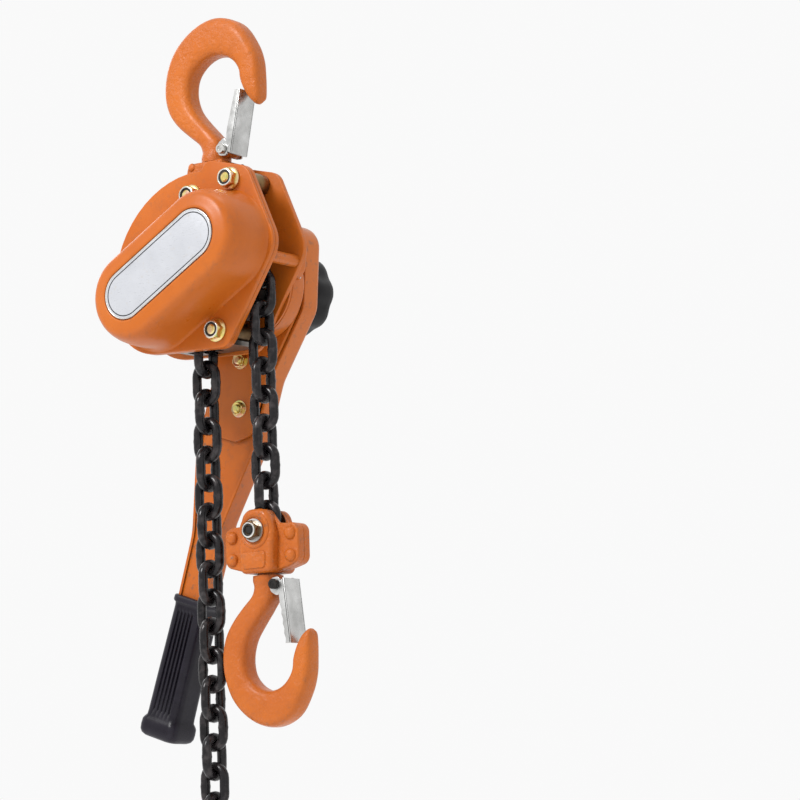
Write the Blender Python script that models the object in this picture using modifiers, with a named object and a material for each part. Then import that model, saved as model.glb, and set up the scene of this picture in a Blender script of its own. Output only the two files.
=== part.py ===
"""Lever chain hoist: two side plates with a chain sheave, a gear train, a brake, a lever and two hooks.

Lengths are in millimetres and are turned into metres by MM. World origin: the saddle of the top hook.
X runs from the tail side of the chain to the load side, Y from the gear cover to the hand wheel, Z up.
Helper coordinates (x, y, z) are measured from the level of the main shaft, SHAFT_Z below the saddle.
"""
import math

import bmesh
import bpy
from mathutils import Matrix, Vector

MM = 0.001
WELD = 0.000002           # points nearer than this are one point

# ---------------------------------------------------------------- driving dimensions
SHAFT_X = 11.0            # main shaft, from the hook line
SHAFT_Z = -166.0          # main shaft, from the saddle of the top hook
WIRE = 7.1                # chain wire
PITCH = 20.4              # chain pitch
LINK_WIDTH = 24.0         # chain link, outside
POCKETS = 4               # pockets of the load sheave
CROWN_STEPS = 3           # straight pieces in the bend of a link
LINK_SINK = 0.55          # how far a link reaches into the next one of the same run
LOOSE = 0.8               # extra length of a link towards the next run
LOAD_LOOSE = 2.4          # the same at the top of the load strand
LOAD_LINKS = 9
TAIL_LINKS = 20
LOAD_TOP = -1.3           # first joint of the load strand
RING_R = 11.5             # stop ring at the end of the tail, middle of its wire
RING_WIRE_R = 2.5

PLATE_IN = 14.5           # inner face of each side plate
PLATE_T = 4.0
COVER_T = 3.0
GAP = 0.3                 # between touching pieces
PLATE_OUTLINE = [
    (-79.5, 79.5, 78.5), (2.0, 79.5, 3.0), (8.0, 86.5, 7.0), (43.5, 77.5, 12.0),
    (68.0, 20.0, 22.0), (22.5, -50.0, 11.0), (-79.5, -46.5, 38.0),
]
STAY_UPPER = (29.0, 70.0)
STAY_LOWER = (14.0, -37.0)
YOKE_PIN = (-6.0, 62.0)
STUD_R = 4.0
SPACER_R = 8.0
PIN_R = 5.2

BULGE_A = (-36.5, -10.0)  # ends of the gear housing's centre line
BULGE_B = (24.5, 25.2)
LABEL_R = 17.8

MODULE = 2.0              # of the gears
BIG_TEETH = 27
SMALL_TEETH = 9
GEAR_DISTANCE = MODULE * (BIG_TEETH + SMALL_TEETH) / 2
CHANGE_TEETH = 18         # of the wheel that the lever's pawl turns
RATCHET_TEETH = 20
WHEEL_WAVES = 8           # round the hand wheel
IDLER_BELOW = 1.8         # intermediate shaft, below the main shaft
IDLER = (SHAFT_X - math.sqrt(GEAR_DISTANCE ** 2 - IDLER_BELOW ** 2), -IDLER_BELOW)

ROLLERS = ((56.5, 12.0), (-32.5, -24.0))   # guide rollers beside the load and the tail strand

PAWLS = ((-7.0, 40.0, -1.0), (29.0, 40.0, 1.0))   # brake pawls: x and z of the pin, side of the shaft

LEVER_LEAN = 18.7         # degrees from hanging straight down
LEVER_BACK = 58.0         # outer face of the lever's pan
LEVER_FRONT = 39.4        # its open side
PAN_T = 2.6
SELECTOR = (-3.0, -55.0)  # change-over shaft, measured from the main shaft along the lever
COVER_BOLTS = ((-15.0, 38.0), (15.0, 38.0))
TANG_END = -302.0         # end of the pan inside the grip
GRIP_TOP = -230.5

HOOK_COLLAR_TOP = 88.7    # top hook: underside of its collar
HOOK_RINGS = (            # inner and outer point of each section below the collar, and half its thickness
    ((10.7, 0.0), (-10.7, 0.0), 10.7), ((10.7, -4.0), (-10.7, -4.0), 10.7),
    ((9.6, -8.0), (-9.6, -8.0), 9.6), ((8.4, -15.0), (-11.4, -14.0), 9.4),
    ((2.0, -23.5), (-18.4, -21.0), 9.3), ((-6.0, -33.3), (-28.0, -31.4), 9.6),
    ((-13.5, -43.7), (-34.5, -42.3), 9.6), ((-17.0, -55.1), (-37.0, -56.1), 9.6),
    ((-16.1, -65.9), (-34.9, -72.5), 9.6), ((-11.5, -73.1), (-27.4, -88.2), 9.6),
    ((-4.3, -78.3), (-12.9, -100.8), 9.6), ((3.8, -80.2), (4.7, -105.8), 9.6),
    ((12.3, -78.2), (22.0, -99.3), 9.6), ((19.0, -73.3), (32.4, -84.4), 9.2),
    ((22.9, -66.6), (37.2, -71.0), 8.6), ((23.8, -59.4), (38.4, -58.2), 8.2),
    ((26.6, -51.6), (38.6, -48.6), 7.6), ((30.4, -44.8), (38.4, -42.0), 6.2),
    ((33.8, -40.4), (36.9, -39.3), 3.2),
)
TOP_LIFT = (2.9, 0.3)     # the top hook's bowl is this much nearer its collar, inside and outside
TOP_SPREAD = 0.12         # and this much wider
LATCH_AT = (12.8, -7.0)   # latch pivot, from the hook's collar
LATCH_END = -48.5
TOP_LATCH_REACH = 4.3     # how much further out the top latch ends
BLOCK_PIN_Z = LOAD_TOP - LOAD_LINKS * PITCH + 4.5
BLOCK_COLLAR = BLOCK_PIN_Z - 31.0
LOAD_X = SHAFT_X + PITCH / 2 / math.sin(math.pi / (2 * POCKETS))
SHEAVE_R = LOAD_X - SHAFT_X
TAIL_X = SHAFT_X - SHEAVE_R + 2.0   # free side of the chain
RIVETS = ((-25.3, -3.0), (-25.3, -18.5), (25.3, -3.0), (25.3, -18.5))   # of the bottom block

ORANGE = (0.62, 0.17, 0.03)
BLACK = (0.015, 0.015, 0.017)
STEEL = (0.32, 0.31, 0.30)
ZINC = (0.62, 0.62, 0.60)
YELLOW_ZINC = (0.66, 0.55, 0.25)
SILVER = (0.75, 0.75, 0.76)
LINING = (0.16, 0.11, 0.07)


# ---------------------------------------------------------------- scene and helpers
def start():
    for old in list(bpy.data.objects):
        bpy.data.objects.remove(old, do_unlink=True)
    model = bpy.data.collections.new("lever_chain_hoist")
    tools = bpy.data.collections.new("cutters")
    bpy.context.scene.collection.children.link(model)
    bpy.context.scene.collection.children.link(tools)
    return model, tools


MODEL, TOOLS = start()


def material(name, colour, metallic, roughness):
    made = bpy.data.materials.new(name)
    made.use_nodes = True
    shader = made.node_tree.nodes["Principled BSDF"]
    shader.inputs["Base Color"].default_value = (*colour, 1.0)
    shader.inputs["Metallic"].default_value = metallic
    shader.inputs["Roughness"].default_value = roughness
    made.diffuse_color = (*colour, 1.0)
    return made


PAINT = ("paint", ORANGE, 0.0, 0.4)
RUBBER = ("grip", BLACK, 0.0, 0.6)
CHAIN = ("chain", BLACK, 0.9, 0.3)
RAW = ("steel", STEEL, 1.0, 0.4)
PLATED = ("zinc", ZINC, 1.0, 0.35)
YELLOW = ("yellow_zinc", YELLOW_ZINC, 1.0, 0.35)
LABEL = ("label", SILVER, 0.2, 0.4)
FRICTION = ("lining", LINING, 0.0, 0.8)
TAG = ("tag", BLACK, 0.3, 0.4)


def world(x, y, z):
    """A helper coordinate in metres, in the world."""
    return Vector((x, y, z + SHAFT_Z)) * MM


def finish(obj, look, axis_at=None, smooth=40.0):
    """Puts a finished object in the model, with its own material and its origin on its joint axis."""
    if axis_at is not None:
        shift = obj.matrix_world.inverted() @ axis_at
        obj.data.transform(Matrix.Translation(-shift))
        obj.location = axis_at
    label, colour, metallic, roughness = look
    obj.data.materials.clear()
    obj.data.materials.append(material(obj.name + "_" + label, colour, metallic, roughness))
    obj.data.shade_smooth()
    obj.data.set_sharp_from_angle(angle=math.radians(smooth))
    return obj


def mesh_object(name, bm, group=None):
    data = bpy.data.meshes.new(name)
    bm.to_mesh(data)
    bm.free()
    obj = bpy.data.objects.new(name, data)
    (group or MODEL).objects.link(obj)
    return obj


def as_mesh(source, name, group=None):
    """Turns a curve into a closed mesh object in world coordinates, and removes the curve."""
    bpy.context.view_layer.update()
    graph = bpy.context.evaluated_depsgraph_get()
    data = bpy.data.meshes.new_from_object(source.evaluated_get(graph))
    data.name = name
    data.transform(source.matrix_world)
    bm = bmesh.new()
    bm.from_mesh(data)
    bmesh.ops.remove_doubles(bm, verts=bm.verts, dist=WELD)
    bmesh.ops.recalc_face_normals(bm, faces=bm.faces)
    bm.to_mesh(data)
    bm.free()
    bpy.data.objects.remove(source, do_unlink=True)
    obj = bpy.data.objects.new(name, data)
    (group or MODEL).objects.link(obj)
    return obj


def rounded(corners, steps=5):
    """Corner points (x, z, radius) as an outline whose corners are arcs."""
    outline = []
    count = len(corners)
    for i, (x, z, radius) in enumerate(corners):
        here = Vector((x, z))
        back = (Vector(corners[i - 1][:2]) - here).normalized()
        ahead = (Vector(corners[(i + 1) % count][:2]) - here).normalized()
        if radius <= 0.0:
            outline.append((x, z))
            continue
        half = back.angle(ahead) / 2
        reach = radius / math.tan(half)
        centre = here + (back + ahead).normalized() * radius / math.sin(half)
        first = here + back * reach - centre
        last = here + ahead * reach - centre
        turn = first.angle_signed(last)
        turns = max(2, round(steps * abs(turn) / (math.pi / 2)))
        for k in range(turns + 1):
            arm = Matrix.Rotation(-turn * k / turns, 2) @ first
            outline.append(tuple(centre + arm))
    return outline


def stadium(a, b, radius, steps=8):
    """A slot outline round the line from a to b."""
    along = math.atan2(b[1] - a[1], b[0] - a[0])
    outline = []
    for end, start_angle in ((b, along - math.pi / 2), (a, along + math.pi / 2)):
        for k in range(steps + 1):
            angle = start_angle + math.pi * k / steps
            outline.append((end[0] + radius * math.cos(angle), end[1] + radius * math.sin(angle)))
    return outline


def ring(radius, count, centre=(0.0, 0.0), turn=0.0):
    """Points on a circle."""
    return [
        (centre[0] + radius * math.cos(turn + 2 * math.pi * k / count),
         centre[1] + radius * math.sin(turn + 2 * math.pi * k / count))
        for k in range(count)
    ]


def plate(name, outlines, y0, y1, group=None):
    """A flat piece parallel to the side plates: the first outline is its edge, the others are holes."""
    curve = bpy.data.curves.new(name, "CURVE")
    curve.dimensions = "2D"
    curve.fill_mode = "BOTH"
    curve.extrude = abs(y1 - y0) / 2 * MM
    for outline in outlines:
        spline = curve.splines.new("POLY")
        spline.points.add(len(outline) - 1)
        for point, (x, z) in zip(spline.points, outline):
            point.co = (x * MM, z * MM, 0.0, 1.0)
        spline.use_cyclic_u = True
    source = bpy.data.objects.new(name + "_curve", curve)
    TOOLS.objects.link(source)
    source.rotation_euler = (math.pi / 2, 0.0, 0.0)
    source.location = world(0.0, (y0 + y1) / 2, 0.0)
    return as_mesh(source, name, group)


def turned(name, profile, at, axis="Y", steps=24, turn=0.0, group=None):
    """A turned piece: profile points (radius, height) run down its outer side, from top to bottom."""
    bm = bmesh.new()
    points = [bm.verts.new((radius * MM, 0.0, height * MM)) for radius, height in profile]
    for first, second in zip(points, points[1:]):
        bm.edges.new((first, second))
    if profile[0][0] > 0.0:
        bm.edges.new((points[-1], points[0]))
    obj = mesh_object(name, bm, group)
    screw = obj.modifiers.new("turn", "SCREW")
    screw.steps = steps
    screw.render_steps = steps
    screw.use_merge_vertices = True
    screw.merge_threshold = 0.00001
    if axis == "Y":
        obj.rotation_euler = (-math.pi / 2, turn, 0.0)
    elif axis == "X":
        obj.rotation_euler = (0.0, math.pi / 2, 0.0)
    else:
        obj.rotation_euler = (0.0, 0.0, turn)
    obj.location = world(*at)
    bpy.context.view_layer.update()
    graph = bpy.context.evaluated_depsgraph_get()
    data = bpy.data.meshes.new_from_object(obj.evaluated_get(graph))
    data.transform(obj.matrix_world)
    obj.modifiers.clear()
    obj.data = data
    obj.matrix_world = Matrix.Identity(4)
    return obj


def disc(radius, y0, y1):
    """Profile of a plain solid disc between two heights."""
    return [(0.0, y1), (radius, y1), (radius, y0), (0.0, y0)]


def washer(inner, outer, y0, y1):
    """Profile of a plain ring between two heights."""
    return [(outer, y1), (outer, y0), (inner, y0), (inner, y1)]


def loft(name, rings, group=None):
    """A closed solid through rings of world points, all with the same number of points."""
    bm = bmesh.new()
    loops = [[bm.verts.new(point) for point in points] for points in rings]
    count = len(loops[0])
    for low, high in zip(loops, loops[1:]):
        for k in range(count):
            bm.faces.new((low[k], low[(k + 1) % count], high[(k + 1) % count], high[k]))
    bm.faces.new(loops[0])
    bm.faces.new(loops[-1])
    bmesh.ops.recalc_face_normals(bm, faces=bm.faces)
    return mesh_object(name, bm, group)


def box(name, low, high, group=None, turn=0.0):
    """A box between two corners, turned about the line through its middle along Y."""
    bm = bmesh.new()
    bmesh.ops.create_cube(bm, size=1.0)
    size = Vector(high) - Vector(low)
    middle = (Vector(high) + Vector(low)) / 2
    for vert in bm.verts:
        vert.co = Vector(vert.co[i] * size[i] for i in range(3)) * MM
    bmesh.ops.rotate(bm, verts=bm.verts, matrix=Matrix.Rotation(turn, 3, "Y"))
    bmesh.ops.translate(bm, verts=bm.verts, vec=world(*middle))
    return mesh_object(name, bm, group)


def combine(obj, other, operation):
    """Joins or cuts obj with other, then removes other."""
    modifier = obj.modifiers.new(operation, "BOOLEAN")
    modifier.operation = operation
    modifier.solver = "EXACT"
    modifier.object = other
    bpy.context.view_layer.update()
    graph = bpy.context.evaluated_depsgraph_get()
    data = bpy.data.meshes.new_from_object(obj.evaluated_get(graph))
    bm = bmesh.new()
    bm.from_mesh(data)
    bmesh.ops.remove_doubles(bm, verts=bm.verts, dist=WELD)
    bmesh.ops.dissolve_degenerate(bm, edges=bm.edges, dist=WELD)
    bm.to_mesh(data)
    bm.free()
    obj.modifiers.clear()
    obj.data = data
    bpy.data.objects.remove(other, do_unlink=True)
    return obj


def cut(obj, *others):
    for other in others:
        combine(obj, other, "DIFFERENCE")
    return obj


def join(obj, *others):
    for other in others:
        combine(obj, other, "UNION")
    return obj


def hole(radius, at, y0, y1, steps=20):
    """A cylinder along Y that cuts a hole at (x, z)."""
    return turned("hole", disc(radius, y0, y1), (at[0], 0.0, at[1]), steps=steps, group=TOOLS)


def turn_about(obj, degrees, pivot):
    """Turns an object's mesh about a line along Y through pivot."""
    shift = Matrix.Translation(pivot)
    obj.data.transform(shift @ Matrix.Rotation(math.radians(degrees), 4, "Y") @ shift.inverted())
    return obj


SHAFT = world(SHAFT_X, 0.0, 0.0)
SHAFT_AT = (SHAFT_X, 0.0)


# ---------------------------------------------------------------- frame
def side_plates():
    edge = rounded(PLATE_OUTLINE, 4)
    y0 = -PLATE_IN - PLATE_T
    front = plate("gear_side_plate", [edge], y0, -PLATE_IN)
    cut(front, hole(30.4, SHAFT_AT, y0 - 1, -PLATE_IN + 1, 24), hole(12.0, IDLER, y0 - 1, -PLATE_IN + 1, 14))
    rear = plate("brake_side_plate", [edge], PLATE_IN, PLATE_IN + PLATE_T)
    cut(rear, hole(17.4, SHAFT_AT, PLATE_IN - 1, PLATE_IN + PLATE_T + 1, 20))
    for obj, low in ((front, y0 - 1), (rear, PLATE_IN - 1)):
        for at in (STAY_UPPER, STAY_LOWER):
            cut(obj, hole(STUD_R + GAP, at, low, low + PLATE_T + 2, 16))
        cut(obj, hole(PIN_R + GAP, YOKE_PIN, low, low + PLATE_T + 2, 16))
        for at in ROLLERS:
            cut(obj, hole(2.1, at, low, low + PLATE_T + 2, 12))
    for x, z, _side in PAWLS:
        pin = [(0.0, 31.0), (4.2, 31.0), (4.2, 28.4), (2.5, 28.4), (2.5, 18.0), (0.0, 18.0)]
        join(rear, turned("pawl_pin", pin, (x, 0.0, z), steps=12, group=TOOLS))
    finish(front, PAINT)
    finish(rear, PAINT)


def stays():
    """Studs with a thick middle that hold the plates apart, and the pin that carries the top yoke."""
    end = PLATE_IN + PLATE_T
    nut_end = end + COVER_T + GAP + 7.6
    for name, at in (("stay_upper", STAY_UPPER), ("stay_lower", STAY_LOWER)):
        profile = [
            (0.0, end + 3.4), (5.0, end + 2.8), (6.5, end + GAP), (STUD_R, end + GAP),
            (STUD_R, PLATE_IN - GAP), (SPACER_R, PLATE_IN - GAP), (SPACER_R, -PLATE_IN + GAP),
            (STUD_R, -PLATE_IN + GAP), (STUD_R, -nut_end), (0.0, -nut_end),
        ]
        finish(turned(name, profile, (at[0], 0.0, at[1]), steps=14), RAW)
    profile = [
        (0.0, end + 3.4), (6.0, end + 2.8), (7.6, end + GAP), (PIN_R, end + GAP),
        (PIN_R, -end - GAP), (STUD_R, -end - GAP), (STUD_R, -nut_end), (0.0, -nut_end),
    ]
    finish(turned("top_yoke_pin", profile, (YOKE_PIN[0], 0.0, YOKE_PIN[1]), steps=16), RAW)
    face = -end - GAP - COVER_T - GAP
    nuts = (("cover_nut_upper", STAY_UPPER), ("cover_nut_lower", STAY_LOWER), ("cover_nut_yoke", YOKE_PIN))
    for name, at in nuts:
        flange = turned(name, disc(8.3, face - 1.8, face), (at[0], 0.0, at[1]), steps=14)
        hexagon = turned("hex", disc(7.4, face - 7.0, face - 1.0), (at[0], 0.0, at[1]), steps=6, group=TOOLS)
        join(flange, hexagon)
        finish(cut(flange, hole(STUD_R + GAP, at, face - 9, face + 1, 12)), YELLOW)


HOUSING = [   # outside of the gear housing: distance from its centre line, y
    (37.2, -20.5), (37.2, -21.8), (35.9, -24.2), (35.2, -28.0), (34.8, -44.0), (33.2, -52.0),
    (29.6, -58.0), (24.8, -61.3), (20.0, -62.0),
]
CAVITY = [(32.4, -17.0), (32.0, -40.0), (30.0, -51.0), (26.0, -55.6), (19.0, -57.6)]


def housing_loft(name, profile, group=None):
    rings = [
        [world(x, y, z) for x, z in stadium(BULGE_A, BULGE_B, radius)] for radius, y in profile
    ]
    return loft(name, rings, group)


def gear_cover():
    top = -PLATE_IN - PLATE_T - GAP
    flange = plate("gear_cover", [rounded(PLATE_OUTLINE, 4)], top - COVER_T, top)
    join(flange, housing_loft("housing", HOUSING, TOOLS))
    cut(flange, housing_loft("cavity", CAVITY, TOOLS))
    bearings = (
        turned("boss", disc(9.0, -58.6, -42.0), (SHAFT_X, 0.0, 0.0), steps=16, group=TOOLS),
        turned("boss", disc(7.5, -58.6, -39.0), (IDLER[0], 0.0, IDLER[1]), steps=16, group=TOOLS),
    )
    join(flange, *bearings)
    cut(
        flange,
        hole(5.1, SHAFT_AT, -56.5, -38.0),
        hole(4.1, IDLER, -56.5, -36.0),
        plate("recess", [stadium(BULGE_A, BULGE_B, LABEL_R + 0.5)], -64.0, -60.7, TOOLS),
        hole(STUD_R + GAP, STAY_UPPER, -25, -15, 16),
        hole(STUD_R + GAP, STAY_LOWER, -25, -15, 16),
        hole(STUD_R + GAP, YOKE_PIN, -25, -15, 16),
    )
    finish(flange, PAINT)
    finish(plate("cover_label", [stadium(BULGE_A, BULGE_B, LABEL_R)], -62.2, -61.0), LABEL)


def brake_cover():
    """Round cup over the brake with a raised pad on the load side, open towards the plate."""
    low = PLATE_IN + PLATE_T + GAP
    cup = plate("brake_cover", [ring(39.0, 32, SHAFT_AT)], low, 36.0)
    pad_edge = rounded([
        (4.0, 34.0, 8.0), (36.0, 46.0, 8.0), (59.0, 28.0, 12.0), (56.0, 6.0, 10.0), (16.0, -30.0, 8.0),
    ], 3)
    join(cup, plate("pad", [pad_edge], low + 0.01, 29.0, TOOLS))
    cut(
        cup,
        plate("room", [ring(36.2, 32, SHAFT_AT)], low - 1, 33.6, TOOLS),
        plate("shaft_room", [ring(25.0, 24, SHAFT_AT)], 30.0, 40.0, TOOLS),
        box("pawl_room", (-14.5, low - 1, 31.0), (37.5, 33.6, 60.0), TOOLS),
        hole(7.4, STAY_LOWER, low - 1, 23.0, 16),
    )
    finish(cup, PAINT)


def chain_guide():
    """Plate between the side plates, below the sheave, with a slot for each strand."""
    reach = PLATE_IN - GAP
    bar = box("chain_guide", (-31.5, -reach, -47.0), (22.0, reach, -43.5))
    cut(
        bar,
        box("slot", (TAIL_X - 13.2, -4.8, -50.0), (TAIL_X + 13.2, 4.8, -40.0), TOOLS),
        box("slot", (TAIL_X - 5.0, -13.0, -50.0), (TAIL_X + 5.0, 13.0, -40.0), TOOLS),
        turned("notch", disc(SPACER_R + 0.6, -20, 20), (STAY_LOWER[0], 0.0, STAY_LOWER[1]), group=TOOLS),
    )
    finish(bar, RAW)
    stripper = box("chain_stripper", (3.5, -3.4, -28.3), (24.5, 3.4, -13.6))
    cut(stripper, hole(SPACER_R + GAP, STAY_LOWER, -5, 5, 24), hole(15.6, SHAFT_AT, -5, 5, 28))
    finish(stripper, RAW)


# ---------------------------------------------------------------- chain
def link(bm, middle, along, across, top_gap=0.0, end_gap=0.0, sides=6):
    """Adds one chain link to bm: middle in metres, along the chain and across its flat side."""
    bend = (LINK_WIDTH - WIRE) / 2
    crown = bend * math.cos(math.pi / (2 * CROWN_STEPS))
    reach = PITCH / 2 + WIRE / 2 - crown - LINK_SINK
    path = []
    for sign, spare in ((1.0, end_gap), (-1.0, top_gap)):
        for k in range(CROWN_STEPS + 1):
            angle = math.pi * k / CROWN_STEPS
            path.append((sign * (reach + spare + bend * math.sin(angle)), sign * bend * math.cos(angle)))
    third = along.cross(across)
    loops = []
    count = len(path)
    for k, (u, w) in enumerate(path):
        back = Vector((u - path[k - 1][0], w - path[k - 1][1])).normalized()
        ahead = Vector((path[(k + 1) % count][0] - u, path[(k + 1) % count][1] - w)).normalized()
        tangent = (back + ahead).normalized()
        normal = Vector((-tangent[1], tangent[0])) / tangent.dot(back)
        loop = []
        for s in range(sides):
            angle = 2 * math.pi * (s + 0.5) / sides
            side = WIRE / 2 * math.cos(angle)
            lift = WIRE / 2 * math.sin(angle)
            flat = along * (u + normal[0] * side) + across * (w + normal[1] * side) + third * lift
            loop.append(bm.verts.new(middle + flat * MM))
        loops.append(loop)
    for k in range(count):
        here = loops[k]
        there = loops[(k + 1) % count]
        for s in range(sides):
            bm.faces.new((here[s], here[(s + 1) % sides], there[(s + 1) % sides], there[s]))


def chain(name, joints, first_flat, loose_top, loose_end):
    """A run of links through joints in metres, joined where the links touch."""
    groups = (bmesh.new(), bmesh.new())
    last = len(joints) - 2
    for k, (start_at, end_at) in enumerate(zip(joints, joints[1:])):
        along = (end_at - start_at).normalized()
        flat = (k % 2 == 0) == first_flat
        side = Vector((0.0, 1.0, 0.0))
        across = side if flat else along.cross(side).normalized()
        top = loose_top if k == 0 else 0.0
        end = loose_end if k == last else 0.0
        link(groups[k % 2], (start_at + end_at) / 2, along, across, top, end)
    for bm in groups:
        bmesh.ops.recalc_face_normals(bm, faces=bm.faces)
    obj = mesh_object(name, groups[0])
    join(obj, mesh_object("even_links", groups[1], TOOLS))
    return obj


def sheave_joint(k):
    """Joint k of the chain on the sheave, counted from the load side."""
    start_angle = math.asin(LOAD_TOP / SHEAVE_R)
    angle = start_angle + k * math.pi / POCKETS
    return world(SHAFT_X + SHEAVE_R * math.cos(angle), 0.0, SHEAVE_R * math.sin(angle))


def chains():
    load = [world(LOAD_X, 0.0, LOAD_TOP - PITCH * k) for k in range(LOAD_LINKS + 1)]
    finish(chain("load_chain", load, False, LOAD_LOOSE, 0.0), CHAIN, load[0], 60.0)
    wrap = [sheave_joint(k) for k in range(POCKETS + 1)]
    finish(chain("chain_on_sheave", wrap, True, LOOSE, LOOSE), CHAIN, SHAFT, 60.0)
    tail = [world(TAIL_X, 0.0, -LOAD_TOP - PITCH * k) for k in range(TAIL_LINKS + 1)]
    finish(chain("tail_chain", tail, True, LOOSE, 0.0), CHAIN, tail[0], 60.0)
    stop_ring(tail[-1])


def stop_ring(end):
    """End stop of the tail: a round ring through the last link."""
    middle = end + Vector((0.0, 0.0, -(RING_R - 3.3))) * MM
    bm = bmesh.new()
    loops = []
    for k in range(16):
        angle = 2 * math.pi * k / 16
        out = Vector((0.0, math.cos(angle), math.sin(angle)))
        loop = []
        for s in range(6):
            roll = 2 * math.pi * s / 6
            sideways = Vector((1.0, 0.0, 0.0)) * RING_WIRE_R * math.sin(roll)
            spot = out * (RING_R + RING_WIRE_R * math.cos(roll)) + sideways
            loop.append(bm.verts.new(middle + spot * MM))
        loops.append(loop)
    for k in range(16):
        here = loops[k]
        there = loops[(k + 1) % 16]
        for s in range(6):
            bm.faces.new((here[s], here[(s + 1) % 6], there[(s + 1) % 6], there[s]))
    bmesh.ops.recalc_face_normals(bm, faces=bm.faces)
    finish(mesh_object("end_stop_ring", bm), PLATED, end)


# ---------------------------------------------------------------- sheave, gears and brake
def gear(name, teeth, y0, y1, at, bore, turn, group=None):
    """A spur gear with straight-sided teeth; a tooth points along turn."""
    radius = MODULE * teeth / 2
    outline = []
    for k in range(teeth):
        middle = turn + 2 * math.pi * k / teeth
        for reach, share in ((-1.35, -0.235), (0.85, -0.105), (0.85, 0.105), (-1.35, 0.235)):
            angle = middle + share * 2 * math.pi / teeth
            arm = radius + reach * MODULE
            outline.append((at[0] + arm * math.cos(angle), at[1] + arm * math.sin(angle)))
    outlines = [outline]
    if bore > 0.0:
        outlines.append(ring(bore, 16, at))
    return plate(name, outlines, y0, y1, group)


def sheave():
    inner = LINK_WIDTH / 2 + 0.5
    seat = SHEAVE_R * math.cos(math.pi / (2 * POCKETS)) - WIRE / 2 - 0.5
    rim = inner + 1.2
    profile = [
        (26.0, rim), (26.0, inner), (seat, inner - 0.6), (seat, 5.0), (12.0, 4.4), (12.0, -4.4),
        (seat, -5.0), (seat, -inner + 0.6), (26.0, -inner), (26.0, -rim),
        (13.0, -rim), (13.0, -18.2), (6.6, -18.2), (6.6, 17.8), (13.0, 17.8), (13.0, rim),
    ]
    wheel = turned("load_sheave", profile, (SHAFT_X, 0.0, 0.0), steps=20)
    for k in range(POCKETS):
        angle = math.asin(LOAD_TOP / SHEAVE_R) + math.pi / POCKETS * (0.5 + 2 * k)
        for side in (-1, 1):
            middle = side * 8.9
            ridge = box("ridge", (-3.0, middle - 3.4, seat - 1.0), (3.0, middle + 3.4, seat + 1.9), TOOLS)
            ridge.data.transform(Matrix.Translation(-world(0.0, 0.0, 0.0)))
            spin = math.pi / 2 - angle - math.pi / POCKETS
            ridge.data.transform(Matrix.Translation(SHAFT) @ Matrix.Rotation(spin, 4, "Y"))
            join(wheel, ridge)
    finish(wheel, RAW, SHAFT)
    line = math.atan2(IDLER[1], IDLER[0] - SHAFT_X)
    drive = gear("load_gear", BIG_TEETH, -18.2, -14.1, SHAFT_AT, 13.3, line)
    finish(drive, RAW, SHAFT)
    idler_at = world(IDLER[0], 0.0, IDLER[1])
    half_tooth = math.pi / SMALL_TEETH
    idler = gear("intermediate_pinion", SMALL_TEETH, -29.4, -14.3, IDLER, 0.0, line + math.pi + half_tooth)
    join(idler, turned("journal", disc(4.0, -55.6, -28.0), (IDLER[0], 0.0, IDLER[1]), group=TOOLS))
    finish(idler, RAW, idler_at)
    finish(gear("intermediate_gear", BIG_TEETH, -36.0, -29.8, IDLER, 4.3, line + math.pi), RAW, idler_at)
    bearing = turned("sheave_bearing", washer(13.4, 17.0, 14.7, 18.3), (SHAFT_X, 0.0, 0.0), steps=20)
    finish(bearing, RAW)
    return line


def drive_shaft(line):
    pinion = gear("pinion_shaft", SMALL_TEETH, -37.0, -29.4, SHAFT_AT, 0.0, line + math.pi / SMALL_TEETH)
    profile = [
        (0.0, 78.0), (3.6, 78.0), (3.6, 64.0), (5.0, 64.0), (5.0, 30.0), (6.0, 30.0), (6.0, -31.0),
        (5.0, -31.0), (5.0, -55.6), (0.0, -55.6),
    ]
    join(pinion, turned("bar", profile, (SHAFT_X, 0.0, 0.0), steps=14, group=TOOLS))
    finish(pinion, RAW, SHAFT)
    hub = turned("brake_hub", [
        (24.0, 21.6), (24.0, 19.2), (6.3, 19.2), (6.3, 29.6), (9.5, 29.6), (9.5, 21.6),
    ], (SHAFT_X, 0.0, 0.0), steps=20)
    finish(hub, RAW, SHAFT)
    for name, low, high in (("friction_disc_inner", 21.9, 23.7), ("friction_disc_outer", 28.3, 30.1)):
        lining = turned(name, washer(10.0, 24.0, low, high), (SHAFT_X, 0.0, 0.0), steps=20)
        finish(lining, FRICTION, SHAFT)
    edge = []
    for k in range(CHANGE_TEETH):
        for step, radius in ((0.0, 29.5), (0.5, 25.0)):
            angle = 2 * math.pi * (k + step) / CHANGE_TEETH
            edge.append((SHAFT_X + radius * math.cos(angle), radius * math.sin(angle)))
    change = plate("change_gear", [edge], 41.0, 48.0)
    join(
        change,
        turned("neck", disc(12.0, 45.0, 56.5), (SHAFT_X, 0.0, 0.0), steps=20, group=TOOLS),
        turned("face", disc(23.0, 30.5, 42.0), (SHAFT_X, 0.0, 0.0), steps=20, group=TOOLS),
    )
    cut(change, hole(5.4, SHAFT_AT, 28, 60, 14))
    finish(change, RAW, SHAFT)
    hand_wheel()
    nut = turned("hand_wheel_nut", disc(7.5, 71.3, 78.5), (SHAFT_X, 0.0, 0.0), steps=6)
    finish(cut(nut, hole(3.9, SHAFT_AT, 70, 80)), PLATED, SHAFT)


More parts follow.
